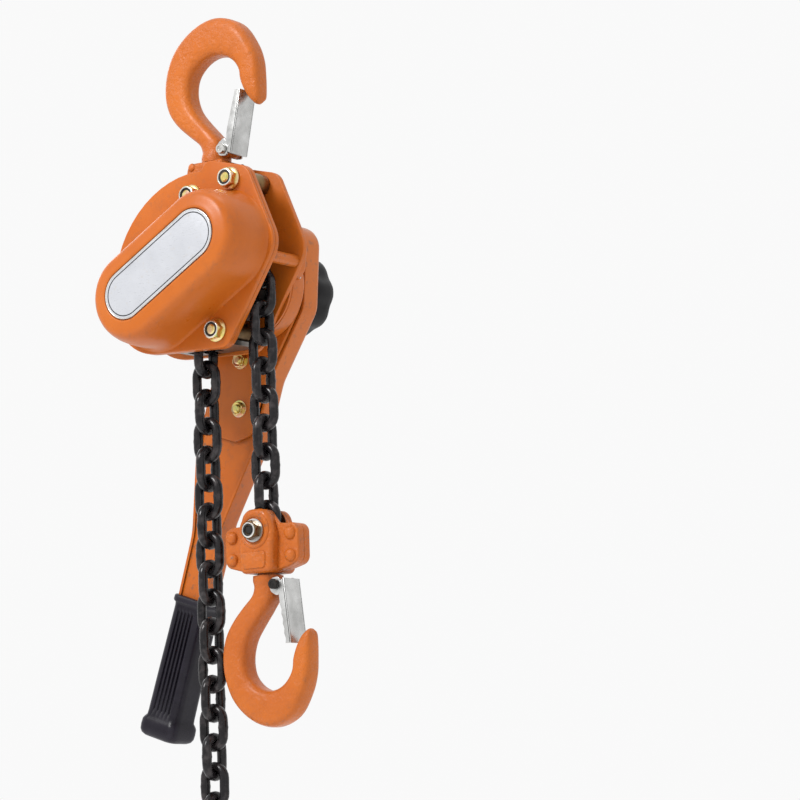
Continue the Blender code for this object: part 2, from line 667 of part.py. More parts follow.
def hand_wheel():
    """Scalloped cup with a flat hub, open to the outside."""
    rings = []
    sections = (   # radius, y, depth of the waves
        (27.0, 59.4, 0.2), (30.0, 61.0, 1.2), (31.0, 68.0, 2.0), (31.0, 76.0, 2.0), (28.5, 84.0, 1.4),
    )
    for radius, y, depth in sections:
        points = []
        for k in range(4 * WHEEL_WAVES):
            angle = 2 * math.pi * k / (4 * WHEEL_WAVES)
            reach = radius - depth * (0.5 - 0.5 * math.cos(WHEEL_WAVES * angle))
            points.append(world(SHAFT_X + reach * math.cos(angle), y, reach * math.sin(angle)))
        rings.append(points)
    wheel = loft("hand_wheel", rings)
    room = [(25.0, 85.0), (26.6, 76.0), (25.0, 71.0), (0.0, 71.0)]
    cut(
        wheel,
        turned("room", [(0.0, 85.0)] + room, (SHAFT_X, 0.0, 0.0), steps=24, group=TOOLS),
        hole(3.9, SHAFT_AT, 55, 90),
        turned("back", disc(12.4, 55.0, 66.0), (SHAFT_X, 0.0, 0.0), steps=28, group=TOOLS),
    )
    finish(wheel, RUBBER, SHAFT)


def ratchet():
    outline = []
    for k in range(RATCHET_TEETH):
        base = 2 * math.pi * (k + 0.5) / RATCHET_TEETH
        outline.append((SHAFT_X + 30.0 * math.cos(base), 30.0 * math.sin(base)))
        outline.append((SHAFT_X + 26.6 * math.cos(base + 0.04), 26.6 * math.sin(base + 0.04)))
    wheel = plate("ratchet_disc", [outline, ring(10.0, 24, SHAFT_AT)], 24.0, 28.0)
    finish(wheel, RAW, SHAFT)
    for name, (x, z, side) in zip(("brake_pawl_tail", "brake_pawl_load"), PAWLS):
        tip = (SHAFT_X + side * 3.0, 31.2)
        outline = rounded([
            (x + side * 4.5, z + 4.8, 4.0), (x + side * 4.5, z - 4.5, 4.0), (x - side * 2.0, z - 5.0, 2.0),
            (tip[0], tip[1], 0.8), (tip[0] + side * 0.2, tip[1] + 4.0, 1.0), (x - side * 4.0, z + 4.8, 3.0),
        ], 3)
        pawl = plate(name, [outline, ring(2.8, 12, (x, z))], 24.2, 27.8)
        finish(pawl, RAW, world(x, 0.0, z))


# ---------------------------------------------------------------- lever
def lever_outline(shrink, end):
    """Pan of the lever, hanging straight down, measured from the shaft."""
    s = shrink
    corners = [
        (-24.0 + s, 50.0 - s, 16.0), (24.0 - s, 50.0 - s, 16.0), (38.5 - s, -6.0, 20.0),
        (24.5 - s, -62.0, 30.0), (24.5 - s, -112.0, 30.0), (12.4 - s, -172.0, 60.0), (11.6 - s, end, 0.0),
        (-11.6 + s, end, 0.0), (-13.6 + s, -185.0, 60.0), (-27.5 + s, -128.0, 40.0),
        (-28.5 + s, -60.0, 40.0), (-36.5 + s, -6.0, 20.0),
    ]
    return [(x + SHAFT_X, z) for x, z in rounded(corners, 3)]


def on_lever(obj, look, pivot=None):
    """Leans a piece that was made for a lever hanging straight down, and finishes it."""
    turn_about(obj, LEVER_LEAN, SHAFT)
    if pivot is None:
        return finish(obj, look, SHAFT)
    lean = Matrix.Translation(SHAFT) @ Matrix.Rotation(math.radians(LEVER_LEAN), 4, "Y")
    return finish(obj, look, lean @ Vector((pivot[0] * MM, 0.0, pivot[1] * MM)))


def lever_hole(at, radius=3.1):
    return hole(radius, (SHAFT_X + at[0], at[1]), 30, 62, 12)


def lever():
    pan = plate("lever_pan", [lever_outline(0.0, TANG_END)], LEVER_FRONT, LEVER_BACK)
    cut(pan, plate("room", [lever_outline(PAN_T, TANG_END - 10)], 30.0, LEVER_BACK - PAN_T, TOOLS))
    cut(pan, hole(13.2, SHAFT_AT, 50, 60, 20), lever_hole(SELECTOR, 4.1), *map(lever_hole, COVER_BOLTS))
    on_lever(pan, PAINT)
    edge = rounded([
        (-21.5, 47.5, 14.0), (21.5, 47.5, 14.0), (35.8, -6.0, 18.0), (22.0, -62.0, 30.0),
        (20.0, -104.0, 6.0), (8.0, -112.0, 10.0), (-14.0, -112.0, 10.0), (-24.5, -104.0, 6.0),
        (-26.0, -60.0, 30.0), (-34.0, -6.0, 18.0),
    ], 3)
    face = plate("lever_inner_cover", [[(x + SHAFT_X, z) for x, z in edge]], 37.0, 39.1)
    cut(face, hole(24.5, SHAFT_AT, 30, 45, 20), lever_hole(SELECTOR, 4.1), *map(lever_hole, COVER_BOLTS))
    on_lever(face, PAINT)
    top = LEVER_BACK + 5.2
    for name, (x, z) in zip(("lever_bolt_tail", "lever_bolt_load"), COVER_BOLTS):
        profile = [
            (0.0, top), (6.2, top), (6.2, LEVER_BACK + GAP), (2.8, LEVER_BACK + GAP),
            (2.8, 37.2), (0.0, 37.2),
        ]
        on_lever(turned(name, profile, (SHAFT_X + x, 0.0, z), steps=12), PLATED)
    grip()
    selector()
    tag = rounded([
        (-15.0, -74.0, 4.0), (15.0, -74.0, 4.0), (18.0, -96.0, 3.0),
        (13.0, -121.0, 4.0), (-13.0, -121.0, 4.0), (-18.0, -96.0, 3.0),
    ], 3)
    tag = [(x + SHAFT_X, z) for x, z in tag]
    on_lever(plate("direction_plate", [tag], LEVER_BACK + GAP, LEVER_BACK + 1.0), TAG)


def grip():
    """Sleeve of rounded rectangular section over the end of the lever, with a collar and a bead."""
    middle = (LEVER_FRONT + LEVER_BACK) / 2
    stations = (   # z, half the width, half the depth
        (GRIP_TOP, 15.2, 12.6), (GRIP_TOP - 4.5, 15.6, 13.0), (GRIP_TOP - 5.5, 14.4, 11.9),
        (-320.0, 15.0, 12.6), (-324.0, 17.2, 14.8), (-333.0, 17.2, 14.8), (-336.5, 15.0, 12.6),
    )
    rings = []
    for z, wide, deep in stations:
        edge = rounded([(-wide, -deep, 7.5), (-wide, deep, 7.5), (wide, deep, 7.5), (wide, -deep, 7.5)], 3)
        rings.append([world(SHAFT_X + x, middle + y, z) for x, y in edge])
    sleeve = loft("lever_grip", rings)
    tang = plate("tang", [lever_outline(-GAP, TANG_END - GAP)], LEVER_FRONT - GAP, LEVER_BACK + GAP, TOOLS)
    cut(sleeve, tang)
    on_lever(sleeve, RUBBER)


def selector():
    x, z = SHAFT_X + SELECTOR[0], SELECTOR[1]
    pawl = rounded([
        (x - 11.0, z + 21.0, 1.0), (x - 5.0, z + 8.0, 3.0), (x + 5.0, z + 8.0, 3.0),
        (x + 11.0, z + 21.0, 1.0), (x + 9.0, z - 6.0, 5.0), (x - 9.0, z - 6.0, 5.0),
    ], 3)
    profile = [
        (0.0, 75.0), (3.0, 75.0), (3.0, 60.0), (8.6, 60.0), (8.6, LEVER_BACK + GAP), (3.9, LEVER_BACK + GAP),
        (3.9, 36.7), (5.6, 36.7), (5.6, 32.6), (0.0, 32.6),
    ]
    change = plate("change_pawl", [pawl], 42.0, 47.0)
    join(change, turned("shaft", profile, (x, 0.0, z), steps=16, group=TOOLS))
    on_lever(change, PLATED, SELECTOR)
    knob = turned("selector_knob", disc(9.0, 60.4, 74.0), (x, 0.0, z), steps=20)
    arm = rounded([
        (x - 5.5, z, 1.0), (x + 5.5, z, 1.0), (x + 5.0, z - 14.0, 3.0), (x + 9.5, z - 27.0, 6.0),
        (x - 9.5, z - 27.0, 6.0), (x - 5.0, z - 14.0, 3.0),
    ], 3)
    join(knob, plate("arm", [arm], 63.0, 72.0, TOOLS))
    on_lever(cut(knob, hole(3.3, (x, z), 58, 80, 12)), RUBBER, SELECTOR)


# ---------------------------------------------------------------- hooks, yoke and bottom block
def hook_frame(x, z, up):
    """From hook coordinates, with the collar's face at zero and the bowl below it, to the world."""
    place = Matrix.Translation(world(x, 0.0, z))
    if up:
        place = place @ Matrix.Rotation(math.pi, 4, "X")
    return place @ Matrix.Scale(MM, 4)


def hook_section(inner, outer, up):
    """Inner and outer point of a section; the top hook's bowl is wider and nearer its collar."""
    points = []
    for (x, z), lift in zip((inner, outer), TOP_LIFT):
        share = min(1.0, max(0.0, (-z - 8.0) / 20.0)) if up else 0.0
        points.append(Vector((x * (1.0 + TOP_SPREAD * share), 0.0, z + lift * share)))
    return points


def hook(name, x, z, up):
    """Forged hook with a collar, a neck and a button head that its yoke holds."""
    place = hook_frame(x, z, up)
    rings = []
    for inner_at, outer_at, thick in HOOK_RINGS:
        inner, outer = hook_section(inner_at, outer_at, up)
        bulge = 1.0 if inner_at[1] > -10.0 else 0.72
        points = []
        for k in range(10):
            angle = 2 * math.pi * k / 10
            across = math.copysign(abs(math.cos(angle)) ** bulge, math.cos(angle))
            side = math.copysign(abs(math.sin(angle)) ** bulge, math.sin(angle))
            spot = (inner + outer) / 2 + (outer - inner) / 2 * across + Vector((0.0, thick * side, 0.0))
            points.append(place @ spot)
        rings.append(points)
    body = loft(name, rings)
    for radius, low, high in ((7.4, -1.0, 8.0), (10.4, 7.3, 12.0)):
        piece = turned("neck", disc(radius, low, high), (x, 0.0, z), "Z", 14, group=TOOLS)
        if up:
            flip = Matrix.Translation(world(x, 0.0, z))
            piece.data.transform(flip @ Matrix.Rotation(math.pi, 4, "X") @ flip.inverted())
        join(body, piece)
    sign = -1.0 if up else 1.0
    pivot = (x + LATCH_AT[0], z + sign * LATCH_AT[1])
    join(body, turned("lug", disc(5.0, -7.2, 7.2), (pivot[0], 0.0, pivot[1]), steps=12, group=TOOLS))
    cut(body, hole(2.4, pivot, -12, 12, 12))
    finish(body, PAINT, world(x, 0.0, z))
    latch(name.replace("hook", "latch"), x, z, sign, TOP_LATCH_REACH if up else 0.0)
    bolt = turned(name.replace("hook", "latch_bolt"), [
        (0.0, 12.2), (3.3, 12.2), (3.3, 9.9), (2.1, 9.9),
        (2.1, -9.9), (3.6, -9.9), (3.6, -13.0), (0.0, -13.0),
    ], (pivot[0], 0.0, pivot[1]), steps=12)
    finish(bolt, PLATED, world(pivot[0], 0.0, pivot[1]))


def latch(name, x, z, sign, reach):
    """Sprung channel that closes the throat; its ears straddle the shank."""
    def placed(points):
        return [(x + px, z + sign * pz) for px, pz in points]

    far = 25.5 + reach
    side = rounded([
        (20.0, -1.0, 1.5), (far, LATCH_END, 0.5), (far - 4.7, LATCH_END, 0.5), (15.6, -17.0, 3.0),
        (8.0, -10.5, 3.0), (8.0, -3.0, 3.0),
    ], 2)
    slope = (far - 20.0) / (LATCH_END + 1.0)
    behind_top = 18.4 + slope * 5.0
    behind_end = 18.4 + slope * (LATCH_END - 3.0)
    room = [(behind_top, 4.0), (behind_end, LATCH_END - 4.0), (-10.0, LATCH_END - 4.0), (-10.0, 4.0)]
    body = plate(name, [placed(side)], -9.5, 9.5)
    cut(body, plate("room", [placed(room)], -8.1, 8.1, TOOLS))
    pivot = (x + LATCH_AT[0], z + sign * LATCH_AT[1])
    cut(body, hole(2.4, pivot, -12, 12, 12))
    finish(body, PLATED, world(pivot[0], 0.0, pivot[1]))


def halves(names, make, split=GAP / 2):
    """Makes a piece twice and keeps the front of one and the back of the other."""
    for name, low, high in ((names[0], -split, 40.0), (names[1], -40.0, split)):
        obj = make(name)
        finish(cut(obj, box("half", (-200.0, low, -400.0), (200.0, high, 200.0), TOOLS)), PAINT)


def top_yoke():
    def make(name):
        body = plate(name, [rounded([
            (-17.0, 88.1, 6.0), (16.5, 88.1, 6.0), (16.5, 76.0, 5.0), (6.0, 70.0, 4.0),
            (6.0, 50.0, 11.5), (-18.0, 50.0, 11.5), (-18.0, 76.0, 6.0),
        ], 4)], -13.5, 13.5)
        cut(
            body,
            hole(PIN_R + GAP, YOKE_PIN, -20, 20, 20),
            turned("head_room", disc(11.2, 76.0, 82.1), (0.0, 0.0, 0.0), "Z", 14, group=TOOLS),
            turned("neck_room", disc(8.1, 80.0, 95.0), (0.0, 0.0, 0.0), "Z", 14, group=TOOLS),
        )
        for x in (-12.4, 12.4):
            cut(body, hole(2.4, (x, 85.0), -20, 20, 12))
        return body

    halves(("top_yoke_front", "top_yoke_rear"), make)
    pivot = world(YOKE_PIN[0], 0.0, YOKE_PIN[1])
    for name in ("top_yoke_rear", "top_yoke_front"):
        obj = bpy.data.objects[name]
        finish(obj, PAINT, pivot)
    for name, x in (("top_yoke_rivet_tail", -12.4), ("top_yoke_rivet_load", 12.4)):
        finish(turned(name, disc(2.1, -13.2, 13.2), (x, 0.0, 85.0), steps=12), PAINT, pivot)
    hook("top_hook", 0.0, HOOK_COLLAR_TOP, True)


def bottom_block():
    x0, z0 = LOAD_X, BLOCK_PIN_Z

    def at(points):
        return [(x0 + x, z0 + z) for x, z in points]

    def make(name):
        body = plate(name, [at(rounded([
            (-8.6, 13.8, 4.0), (8.6, 13.8, 4.0), (16.2, 4.0, 3.0), (32.0, 4.0, 6.0),
            (32.0, -23.0, 6.0), (14.0, -28.0, 8.0), (-14.0, -28.0, 8.0), (-32.0, -23.0, 6.0),
            (-32.0, 4.0, 6.0), (-16.2, 4.0, 3.0),
        ], 2))], -7.3, 7.3)
        join(body, plate("hump", [at(rounded([
            (-10.0, 15.3, 9.0), (10.0, 15.3, 9.0), (15.4, -2.0, 6.0),
            (13.6, -29.7, 4.0), (-13.6, -29.7, 4.0), (-15.4, -2.0, 6.0),
        ], 2))], -15.0, 15.0, TOOLS))
        slot = [(-13.2, -13.0), (13.2, -13.0), (18.5, 25.0), (-18.5, 25.0)]
        cut(
            body,
            plate("slot", [at(slot)], -4.7, 4.7, TOOLS),
            box("next_link", (x0 - 6.9, -13.4, z0 + 7.6), (x0 + 6.9, 13.4, z0 + 40.0), TOOLS),
            hole(4.5, (x0, z0), -20, 20, 14),
            turned("head_room", disc(11.2, -24.4, -18.2), (x0, 0.0, z0), "Z", 14, group=TOOLS),
            turned("neck_room", disc(8.1, -40.0, -22.0), (x0, 0.0, z0), "Z", 14, group=TOOLS),
        )
        for x, z in RIVETS:
            cut(body, hole(2.8, (x0 + x, z0 + z), -20, 20, 10))
        return body

    pivot = world(x0, 0.0, z0)
    halves(("block_front", "block_rear"), make)
    for name in ("block_rear", "block_front"):
        finish(bpy.data.objects[name], PAINT, pivot)
    for k, (x, z) in enumerate(RIVETS):
        profile = [
            (0.0, 10.0), (2.8, 9.6), (4.0, 7.6), (2.5, 7.6),
            (2.5, -7.6), (4.0, -7.6), (2.8, -9.6), (0.0, -10.0),
        ]
        finish(turned(f"block_rivet_{k + 1}", profile, (x0 + x, 0.0, z0 + z), steps=10), PAINT, pivot)
    pin = turned("chain_pin", [
        (0.0, 19.0), (6.6, 19.0), (6.6, 15.3), (4.2, 15.3), (4.2, -20.0), (0.0, -20.0),
    ], (x0, 0.0, z0), steps=16)
    finish(pin, RAW, pivot)
    nut = turned("chain_pin_nut", disc(7.0, -22.0, -15.3), (x0, 0.0, z0), steps=6)
    finish(cut(nut, hole(4.5, (x0, z0), -30, -10, 16)), PLATED, pivot)
    hook("bottom_hook", x0, BLOCK_COLLAR, False)


def guide_rollers():
    end = PLATE_IN + PLATE_T - 0.5
    for name, at, radius in (("guide_roller_load", ROLLERS[0], 4.5), ("guide_roller_tail", ROLLERS[1], 5.0)):
        profile = [
            (0.0, end), (2.02, end), (2.02, PLATE_IN - GAP), (radius, PLATE_IN - GAP),
            (radius, -PLATE_IN + GAP), (2.02, -PLATE_IN + GAP), (2.02, -end), (0.0, -end),
        ]
        roller = turned(name, profile, (at[0], 0.0, at[1]), steps=12)
        finish(roller, RAW, world(at[0], 0.0, at[1]))


def all_parts():
    side_plates()
    stays()
    gear_cover()
    brake_cover()
    chain_guide()
    guide_rollers()
    chains()
    line = sheave()
    drive_shaft(line)
    ratchet()
    lever()
    top_yoke()
    bottom_block()


all_parts()
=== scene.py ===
import math

import bmesh
import bpy
from mathutils import Matrix, Vector


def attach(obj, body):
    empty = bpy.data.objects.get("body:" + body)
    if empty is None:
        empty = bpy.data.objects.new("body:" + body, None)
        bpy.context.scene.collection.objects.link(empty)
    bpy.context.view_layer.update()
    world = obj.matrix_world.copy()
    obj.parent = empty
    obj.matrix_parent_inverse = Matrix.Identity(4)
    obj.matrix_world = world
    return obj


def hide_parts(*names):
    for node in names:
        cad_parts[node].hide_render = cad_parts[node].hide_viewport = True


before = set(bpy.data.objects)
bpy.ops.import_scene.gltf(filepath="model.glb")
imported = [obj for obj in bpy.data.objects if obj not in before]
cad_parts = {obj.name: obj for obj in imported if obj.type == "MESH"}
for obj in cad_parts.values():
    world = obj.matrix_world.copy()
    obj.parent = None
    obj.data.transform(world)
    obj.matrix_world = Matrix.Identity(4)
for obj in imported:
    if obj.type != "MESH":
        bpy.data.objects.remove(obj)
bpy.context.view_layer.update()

# Lengths are in millimetres and heights are measured from the main shaft, as in the CAD. W() gives metres.
MM = 0.001
SHAFT_X, SHAFT_Z = 11.0, -166.0
PITCH, WIRE, LINK_WIDTH = 20.4, 7.1, 24.0
# The drawn wire is thinner by WIRE_SPARE in radius, uneven by WIRE_RIPPLE, and has a bulge of WELD.
WIRE_SPARE, WIRE_RIPPLE, WELD = 0.12, 0.04, 0.32
POCKETS = 4
# The load strand starts at height LOAD_TOP, and the slack strand at -LOAD_TOP.
LOAD_TOP, LOAD_LINKS, TAIL_LINKS = -1.3, 9, 20
SHEAVE_R = PITCH / 2 / math.sin(math.pi / (2 * POCKETS))
LOAD_X = SHAFT_X + SHEAVE_R
TAIL_X = SHAFT_X - SHEAVE_R + 2.0
# Distances along the shaft, from the middle plane between the two side plates.
PLATE_IN, PLATE_OUT = 14.5, 18.5
FLANGE_FRONT, NUT_SEAT, NUT_TOP = -21.8, -22.1, -29.1
LABEL_FRONT, GRIP_MIDDLE = -61.9, 48.7
# Places (x, z). BULGE_A and BULGE_B are the two ends of the gear housing and of its label.
STAY_UPPER, STAY_LOWER, YOKE_PIN = (29.0, 70.0), (14.0, -37.0), (-6.0, 62.0)
BULGE_A, BULGE_B = (-36.5, -10.0), (24.5, 25.2)
LABEL_RADIUS = 17.8
LEVER_LEAN = 18.7
HOOK_COLLAR = 88.7
BLOCK_PIN = LOAD_TOP - LOAD_LINKS * PITCH + 4.5
BLOCK_COLLAR = BLOCK_PIN - 31.0
PLATE_OUTLINE = [
    (-79.5, 79.5, 78.5), (2.0, 79.5, 3.0), (8.0, 86.5, 7.0), (43.5, 77.5, 12.0), (68.0, 20.0, 22.0),
    (22.5, -50.0, 11.0), (-79.5, -46.5, 38.0),
]


def W(x, y, z):
    """Place in the world, in metres."""
    return Vector((x, y, z + SHAFT_Z)) * MM


SHAFT = W(SHAFT_X, 0.0, 0.0)


# ------------------------------------------------------------------ camera
def make_camera():
    """Long lens, some 35 degrees round from the gear cover and a little below. It looks past the hoist's
    right, so that the hoist stands on the left of the picture."""
    spot, target, roll = Vector((1.4248, -1.8237, -0.5741)), Vector((0.0943, 0.0862, -0.2506)), -1.689
    data = bpy.data.cameras.new("camera")
    data.sensor_width, data.lens, data.clip_end = 36.0, 147.6, 50.0
    camera = bpy.data.objects.new("camera", data)
    bpy.context.scene.collection.objects.link(camera)
    look = (target - spot).to_track_quat("-Z", "Y").to_matrix() @ Matrix.Rotation(math.radians(roll), 3, "Z")
    camera.matrix_world = Matrix.Translation(spot) @ look.to_4x4()
    bpy.context.scene.camera = camera


make_camera()


# ------------------------------------------------------------------ materials
class Nodes:
    """Short way to write a node tree."""

    def __init__(self, name):
        self.mat = bpy.data.materials.new(name)
        self.mat.use_nodes = True
        self.tree = self.mat.node_tree
        self.shader = self.tree.nodes["Principled BSDF"]
        self.place = self.add("ShaderNodeTexCoord").outputs["Object"]

    def add(self, kind, **inputs):
        node = self.tree.nodes.new(kind)
        for key, value in inputs.items():
            self.put(node, key.replace("_", " "), value)
        return node

    def put(self, node, key, value):
        socket = node.inputs[key]
        if isinstance(value, bpy.types.NodeSocket):
            self.tree.links.new(value, socket)
        elif isinstance(value, tuple) and len(value) == 3 and socket.type == "RGBA":
            socket.default_value = (*value, 1.0)
        else:
            socket.default_value = value

    def set(self, **inputs):
        for key, value in inputs.items():
            self.put(self.shader, key.replace("_", " "), value)

    def noise(self, scale, detail=4.0, rough=0.55, stretch=None):
        place = self.place
        if stretch:
            place = self.add("ShaderNodeMapping", Vector=place, Scale=stretch).outputs["Vector"]
        node = self.add("ShaderNodeTexNoise", Vector=place, Scale=scale, Detail=detail, Roughness=rough)
        return node.outputs["Fac"]

    def cells(self, scale):
        return self.add("ShaderNodeTexVoronoi", Vector=self.place, Scale=scale).outputs["Distance"]

    def ramp(self, value, *stops):
        node = self.add("ShaderNodeValToRGB", Fac=value)
        while len(node.color_ramp.elements) < len(stops):
            node.color_ramp.elements.new(0.5)
        for element, (at, colour) in zip(node.color_ramp.elements, stops):
            element.position = at
            grey = isinstance(colour, float)
            element.color = (colour, colour, colour, 1.0) if grey else (*colour, 1.0)
        return node.outputs["Color"]

    def mix(self, share, first, second):
        """First colour, with this share of the second one. The sockets are told apart by number."""
        node = self.tree.nodes.new("ShaderNodeMix")
        node.data_type = "RGBA"
        for key, value in ((0, share), (6, first), (7, second)):
            self.put(node, key, value)
        return node.outputs[2]

    def times(self, first, second):
        node = self.tree.nodes.new("ShaderNodeMath")
        node.operation = "MULTIPLY"
        for key, value in ((0, first), (1, second)):
            self.put(node, key, value)
        return node.outputs[0]

    def edges(self, low=0.505, high=0.56):
        """White on sharp outer edges, where paint and plating wear first; on rubber and plastic it paints a
        highlight there.
        """
        node = self.tree.nodes.new("ShaderNodeNewGeometry")
        return self.ramp(node.outputs["Pointiness"], (low, 0.0), (high, 1.0))

    def shade_in_hollows(self, low=0.40, high=0.49):
        """White in inner corners, where shade is painted into the colour."""
        node = self.tree.nodes.new("ShaderNodeNewGeometry")
        return self.ramp(node.outputs["Pointiness"], (low, 1.0), (high, 0.0))

    def bump(self, *layers):
        """Layers of (height, strength, distance in metres), first layer lowest."""
        under = {}
        for height, strength, distance in layers:
            node = self.add("ShaderNodeBump", Height=height, Strength=strength, Distance=distance, **under)
            under = {"Normal": node.outputs["Normal"]}
        self.set(**under)


def paint(name, colour, dark, pits, wear):
    m = Nodes(name)
    tint = m.ramp(m.noise(9.0, 5.0), (0.32, dark), (0.62, colour))
    grime = m.times(m.ramp(m.noise(60.0, 6.0, 0.7), (0.50, 0.0), (0.78, 1.0)), 0.22)
    tint = m.mix(grime, tint, (0.22, 0.06, 0.015))
    # Painted shade: inner corners are darkened towards dark brown.
    tint = m.mix(m.times(m.shade_in_hollows(), 0.45), tint, (0.16, 0.045, 0.012))
    chip = m.times(m.edges(), m.ramp(m.noise(210.0, 3.0), (0.56, 0.0), (0.66, 1.0)))
    chip = m.times(chip, wear)
    speck = m.ramp(m.cells(420.0), (0.03, 1.0), (0.06, 0.0))
    speck = m.times(speck, m.ramp(m.noise(30.0), (0.60, 0.0), (0.70, 0.6)))
    tint = m.mix(speck, tint, (0.07, 0.03, 0.015))
    tint = m.mix(chip, tint, (0.11, 0.075, 0.05))
    rough = m.ramp(m.noise(38.0, 4.0), (0.30, 0.27), (0.72, 0.46))
    m.set(Base_Color=tint, Roughness=rough, Specular_IOR_Level=0.26, Coat_Weight=0.08, Coat_Roughness=0.2)
    pit = m.ramp(m.noise(150.0, 6.0, 0.62), (0.34, 0.0), (0.58, 1.0))
    m.bump((m.noise(900.0, 2.0), 0.10, 0.0002), (m.noise(240.0, 3.0), 0.14, 0.0006), (pit, pits, 0.0009))
    return m.mat


def metal(name, colour, dark, roughness, blotch=22.0, brushed=None, metallic=1.0, bump=0.12):
    m = Nodes(name)
    tint = m.ramp(m.noise(blotch, 5.0, 0.6), (0.34, dark), (0.64, colour))
    # Painted shade: inner corners are darkened to a third of the dark tone.
    tint = m.mix(m.times(m.shade_in_hollows(), 0.6), tint, tuple(c * 0.35 for c in dark))
    low, high = roughness
    rough = m.ramp(m.noise(blotch * 5.0, 4.0, stretch=brushed), (0.3, low), (0.7, high))
    m.set(Base_Color=tint, Roughness=rough, Metallic=metallic)
    m.bump((m.noise(420.0, 4.0, stretch=brushed), bump, 0.0003), (m.noise(90.0, 3.0), bump * 0.6, 0.0006))
    return m.mat


def zinc_yellow():
    m = Nodes("yellow_zinc")
    tint = m.ramp(
        m.noise(120.0, 3.0),
        (0.28, (0.42, 0.52, 0.20)), (0.42, (0.66, 0.52, 0.16)), (0.55, (0.72, 0.58, 0.30)),
        (0.70, (0.70, 0.36, 0.34)),
    )
    # Painted shade: inner corners are darkened towards dark brown.
    tint = m.mix(m.times(m.shade_in_hollows(), 0.7), tint, (0.10, 0.07, 0.02))
    m.set(Base_Color=tint, Roughness=m.ramp(m.noise(200.0), (0.3, 0.22), (0.7, 0.42)), Metallic=1.0)
    m.bump((m.noise(500.0), 0.12, 0.0002),)
    return m.mat


def chain_look():
    m = Nodes("black_chain")
    tint = m.ramp(m.noise(70.0, 5.0, 0.65), (0.34, (0.003, 0.0026, 0.0036)), (0.68, (0.010, 0.008, 0.009)))
    wear = m.times(m.edges(0.50, 0.58), m.ramp(m.noise(160.0), (0.48, 0.0), (0.68, 0.7)))
    tint = m.mix(wear, tint, (0.10, 0.085, 0.085))
    m.set(Base_Color=tint, Roughness=m.ramp(m.noise(120.0, 4.0), (0.3, 0.16), (0.7, 0.34)), Metallic=0.1)
    m.set(Specular_IOR_Level=0.28, Coat_Weight=0.08, Coat_Roughness=0.1)
    m.bump((m.noise(380.0, 4.0), 0.22, 0.0004), (m.noise(70.0, 2.0), 0.2, 0.0008))
    return m.mat


def rubber_look(name, colour, low, high, grain):
    m = Nodes(name)
    dust = m.times(m.ramp(m.noise(45.0, 6.0, 0.7), (0.50, 0.0), (0.75, 1.0)), 0.35)
    tint = m.mix(dust, colour, tuple(c * 2.6 + 0.012 for c in colour))
    # Painted highlight: sharp edges are painted lighter than the body colour.
    tint = m.mix(m.times(m.edges(), 0.35), tint, tuple(c * 3.0 + 0.02 for c in colour))
    m.set(Base_Color=tint, Roughness=m.ramp(m.noise(80.0), (0.3, low), (0.7, high)), Specular_IOR_Level=0.2)
    m.bump((m.noise(grain, 2.0), 0.16, 0.0003), (m.noise(60.0, 3.0), 0.10, 0.0006))
    return m.mat


def label_look():
    m = Nodes("label_face")
    tint = m.ramp(m.noise(26.0, 5.0), (0.3, (0.44, 0.45, 0.48)), (0.7, (0.53, 0.54, 0.57)))
    speck = m.times(m.ramp(m.noise(300.0, 3.0), (0.64, 0.0), (0.72, 1.0)), 0.4)
    tint = m.mix(speck, tint, (0.45, 0.42, 0.38))
    rough = m.ramp(m.noise(300.0, 3.0, stretch=(1.0, 1.0, 9.0)), (0.3, 0.26), (0.7, 0.42))
    m.set(Base_Color=tint, Roughness=rough, Metallic=0.35, Coat_Weight=0.3, Coat_Roughness=0.1)
    m.bump((m.noise(400.0, 2.0), 0.06, 0.0002),)
    return m.mat


ORANGE = (0.490, 0.122, 0.011)
ORANGE_DARK = (0.430, 0.096, 0.008)
LOOKS = {
    "orange": paint("orange_paint", ORANGE, ORANGE_DARK, 0.05, 0.5),
    "forged": paint("orange_forged", (0.500, 0.126, 0.012), (0.410, 0.090, 0.008), 0.50, 0.7),
    "chain": chain_look(),
    "rubber": rubber_look("black_rubber", (0.0065, 0.005, 0.0095), 0.24, 0.40, 700.0),
    "plastic": rubber_look("black_plastic", (0.0015, 0.0013, 0.002), 0.36, 0.52, 1200.0),
    "zinc": metal("zinc_plate", (0.66, 0.66, 0.65), (0.44, 0.44, 0.43), (0.22, 0.42), 60.0),
    "bright": metal(
        "bright_zinc", (0.78, 0.77, 0.74), (0.55, 0.54, 0.51), (0.16, 0.32), 90.0, brushed=(1.0, 1.0, 6.0)),
    "yellow": zinc_yellow(),
    "steel": metal("bare_steel", (0.30, 0.285, 0.27), (0.17, 0.155, 0.14), (0.28, 0.5), 40.0),
    "brown": metal("brown_steel", (0.30, 0.20, 0.09), (0.09, 0.055, 0.03), (0.26, 0.5), 30.0),
    "dark": metal("dark_steel", (0.045, 0.042, 0.04), (0.02, 0.018, 0.017), (0.26, 0.46), 60.0, metallic=0.8),
    "lining": rubber_look("brake_lining", (0.07, 0.045, 0.03), 0.7, 0.9, 900.0),
    "label": label_look(),
    "ink": rubber_look("label_ink", (0.006, 0.006, 0.007), 0.3, 0.4, 900.0),
    "tag": rubber_look("tag_black", (0.012, 0.012, 0.013), 0.2, 0.32, 900.0),
}


